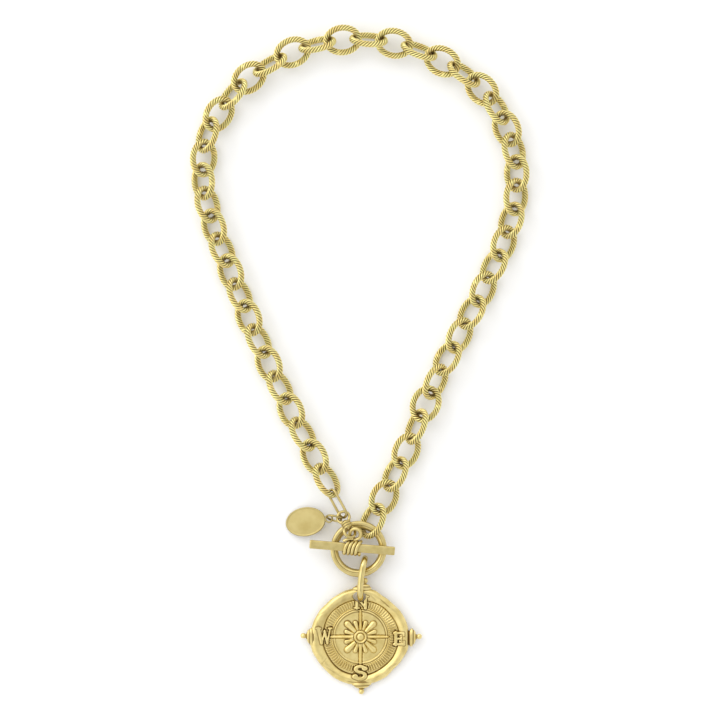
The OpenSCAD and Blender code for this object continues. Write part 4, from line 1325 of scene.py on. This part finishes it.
def tag_eye(thick):
    """Points and faces of the tag's flat eye, round the origin."""
    outside, inside = TAG_EYE
    steps, sides = TAG_EYE_STEPS
    ring, u = round_steps(steps), round_steps(sides)
    wave, lift = (np.sign(part) * np.abs(part) ** TAG_EYE_POWER for part in (np.cos(u), np.sin(u)))
    r = (outside + inside) / 4 + (outside - inside) / 4 * wave
    z = np.tile(lift * thick / 2, (steps, 1))
    points = np.stack([np.outer(np.cos(ring), r), np.outer(np.sin(ring), r), z], -1).reshape(-1, 3)
    return points, [skin(steps, sides, True)[:, ::-1]]


class NECKLACE_OT_blank_tag(bpy.types.Operator):
    """Stamps the small oval tag, left bare"""
    bl_idname = "necklace.blank_tag"
    bl_label = "Stamp the Bare Tag"

    def execute(self, context):
        clasp = context.scene.necklace_clasp
        # Painted shade: the tag gets a much darker copy of the same gold
        finish = gold_finish("tag_gold", rough=(0.34, 0.44), grain=0.5, grain_size=0.16, cloud_size=6,
                             nest=0.4, painted_brightness=0.63)
        size = np.array(clasp.tag_size) / MM
        points, faces = join([tag_plate(size, TAG_EYE[0] * TAG_NECK), tag_eye(size[2])])
        points = points @ axes_of(aim(*TAG_WAY), TAG_ROLL) + np.array(clasp.tag_eye) / MM
        piece = make_piece("blank_oval_tag", points, faces, finish, crease=45)
        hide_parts("oval_tag")
        return {"FINISHED"}


# Thin link and jump ring

def refinish(node, material):
    """Gives a CAD node that stays its finish."""
    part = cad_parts[node]
    part.data.materials.clear()
    part.data.materials.append(material)


class NECKLACE_OT_finish_rings(bpy.types.Operator):
    """Gives the thin link and the jump ring their finishes"""
    bl_idname = "necklace.finish_rings"
    bl_label = "Finish the Rings"

    def execute(self, context):
        # Painted shade: the thin link and the jump ring get darker copies of the same gold
        worn_wire = {"rough": (0.1, 0.2), "grain": 0.15, "grain_size": 0.3, "nest": 0.9}
        refinish("thin_link", gold_finish("thin_link_gold", painted_brightness=0.74, **worn_wire))
        refinish("tag_ring", gold_finish("jump_ring_gold", painted_brightness=0.68, **worn_wire))
        return {"FINISHED"}


# Stage

# Half the floor's width, and how far the floor lies below the necklace, in metres
FLOOR_REACH = 3.0
FLOOR_DROP = 0.02 * MM
# Direction of the brightest part of the room, and how tightly it is gathered there
WINDOW_WAY = (-0.55, 0.5, 0.67)
WINDOW_POWER = 2
# Heights in the room, as shares, where the shade straight above sets in and is full
OVERHEAD = (0.9, 0.985)
# Side and place of the lamp at the upper left, in metres
KEY_SIZE = 0.35
KEY_PLACE = (-0.75, 0.6, 0.8)
# Middle of the picture on the floor, in metres
VIEW_MIDDLE = (0.09 * MM, -0.09 * MM)


def lay_floor(colour):
    """The wide pale floor that the necklace lies on."""
    mesh = bpy.data.meshes.new("floor")
    corners = [(x * FLOOR_REACH, y * FLOOR_REACH, 0) for x, y in ((-1, -1), (1, -1), (1, 1), (-1, 1))]
    mesh.from_pydata(corners, [], [(0, 1, 2, 3)])
    floor = bpy.data.objects.new("floor", mesh)
    floor.location.z = CAD_BOX[0][2] - FLOOR_DROP
    bpy.context.scene.collection.objects.link(floor)
    paper = bpy.data.materials.new("paper")
    paper.use_nodes = True
    shader = paper.node_tree.nodes["Principled BSDF"]
    shader.inputs["Base Color"].default_value = (*colour, 1)
    shader.inputs["Roughness"].default_value = 0.9
    shader.inputs["Specular IOR Level"].default_value = 0.1
    mesh.materials.append(paper)


def light_room(stage):
    """Even light from all round, brighter towards the upper left and darker straight above."""
    world = bpy.data.worlds.new("room")
    world.use_nodes = True
    tree = world.node_tree
    way = add_node(tree, "ShaderNodeTexCoord", (-1200, 0)).outputs["Generated"]
    toward = add_node(tree, "ShaderNodeVectorMath", (-1000, 0))
    toward.operation = "DOT_PRODUCT"
    feed(tree, toward.inputs[0], way)
    feed(tree, toward.inputs[1], Vector(WINDOW_WAY).normalized())
    lit = maths(tree, "MAXIMUM", (-800, 0), toward.outputs["Value"], 0)
    lit = maths(tree, "POWER", (-600, 0), lit, WINDOW_POWER)
    lit = maths(tree, "MULTIPLY_ADD", (-400, 0), lit, stage.window, stage.room)
    up = add_node(tree, "ShaderNodeSeparateXYZ", (-1000, -300), Vector=way)
    shade = remap(tree, (-600, -300), up.outputs["Z"], OVERHEAD, (0, stage.overhead), way="SMOOTHSTEP")
    sky = tree.nodes["Background"]
    feed(tree, sky.inputs["Color"], (1, 1, 1, 1))
    feed(tree, sky.inputs["Strength"], maths(tree, "SUBTRACT", (-200, 0), lit, shade))
    bpy.context.scene.world = world


def hang_lamp(name, power, size, place):
    """A square lamp that points at the middle of the scene."""
    light = bpy.data.lights.new(name, "AREA")
    light.energy = power
    light.shape = "RECTANGLE"
    light.size = light.size_y = size
    lamp = bpy.data.objects.new(name, light)
    lamp.location = place
    lamp.rotation_euler = (-Vector(place)).to_track_quat("-Z", "Y").to_euler()
    bpy.context.scene.collection.objects.link(lamp)


def set_camera(stage):
    """The camera that looks straight down on the necklace."""
    camera = bpy.data.cameras.new("camera")
    camera.type = "PERSP"
    camera.sensor_width = 36
    camera.lens = camera.sensor_width * stage.camera_height / stage.view_width
    camera.clip_end = 20
    eye = bpy.data.objects.new("camera", camera)
    eye.location = (*VIEW_MIDDLE, stage.camera_height)
    bpy.context.scene.collection.objects.link(eye)
    bpy.context.scene.camera = eye


class NECKLACE_OT_stage(bpy.types.Operator):
    """Sets the floor, the soft light and the camera over the necklace"""
    bl_idname = "necklace.stage"
    bl_label = "Set the Stage"

    def execute(self, context):
        stage = context.scene.necklace_stage
        lay_floor(stage.floor)
        light_room(stage)
        hang_lamp("key", stage.key, KEY_SIZE, KEY_PLACE)
        set_camera(stage)
        context.scene.view_settings.view_transform = "Standard"
        return {"FINISHED"}


# Sidebar and registering

class NECKLACE_PT_sidebar(bpy.types.Panel):
    """Lists the pieces of the necklace"""
    bl_idname = "NECKLACE_PT_sidebar"
    bl_label = "Compass Pendant Necklace"
    bl_space_type = "VIEW_3D"
    bl_region_type = "UI"
    bl_category = "Necklace"

    def draw(self, context):
        for operator in OPERATORS:
            self.layout.operator(operator.bl_idname)
        for name in SETTINGS:
            box = self.layout.box()
            group = getattr(context.scene, name)
            for key in group.bl_rna.properties.keys():
                if key not in ("rna_type", "name"):
                    box.prop(group, key)


SETTINGS = {
    "necklace_chain": ChainSettings,
    "necklace_pendant": PendantSettings,
    "necklace_clasp": ClaspSettings,
    "necklace_ring": RingSettings,
    "necklace_bail": BailSettings,
    "necklace_gold": GoldSettings,
    "necklace_stage": StageSettings,
}
OPERATORS = (
    NECKLACE_OT_stage, NECKLACE_OT_rope_chain, NECKLACE_OT_cast_pendant, NECKLACE_OT_bevelled_ring,
    NECKLACE_OT_bent_bail, NECKLACE_OT_coiled_bar, NECKLACE_OT_wrapped_connector, NECKLACE_OT_blank_tag,
    NECKLACE_OT_finish_rings,
)
CLASSES = (*SETTINGS.values(), *OPERATORS, NECKLACE_PT_sidebar)


def register():
    for group in CLASSES:
        bpy.utils.register_class(group)
    for name, group in SETTINGS.items():
        setattr(bpy.types.Scene, name, PointerProperty(type=group))


def unregister():
    for name in SETTINGS:
        delattr(bpy.types.Scene, name)
    for group in reversed(CLASSES):
        bpy.utils.unregister_class(group)


def main():
    register()
    for operator in OPERATORS:
        getattr(bpy.ops.necklace, operator.bl_idname.split(".")[1])()


if __name__ == "__main__":
    main()
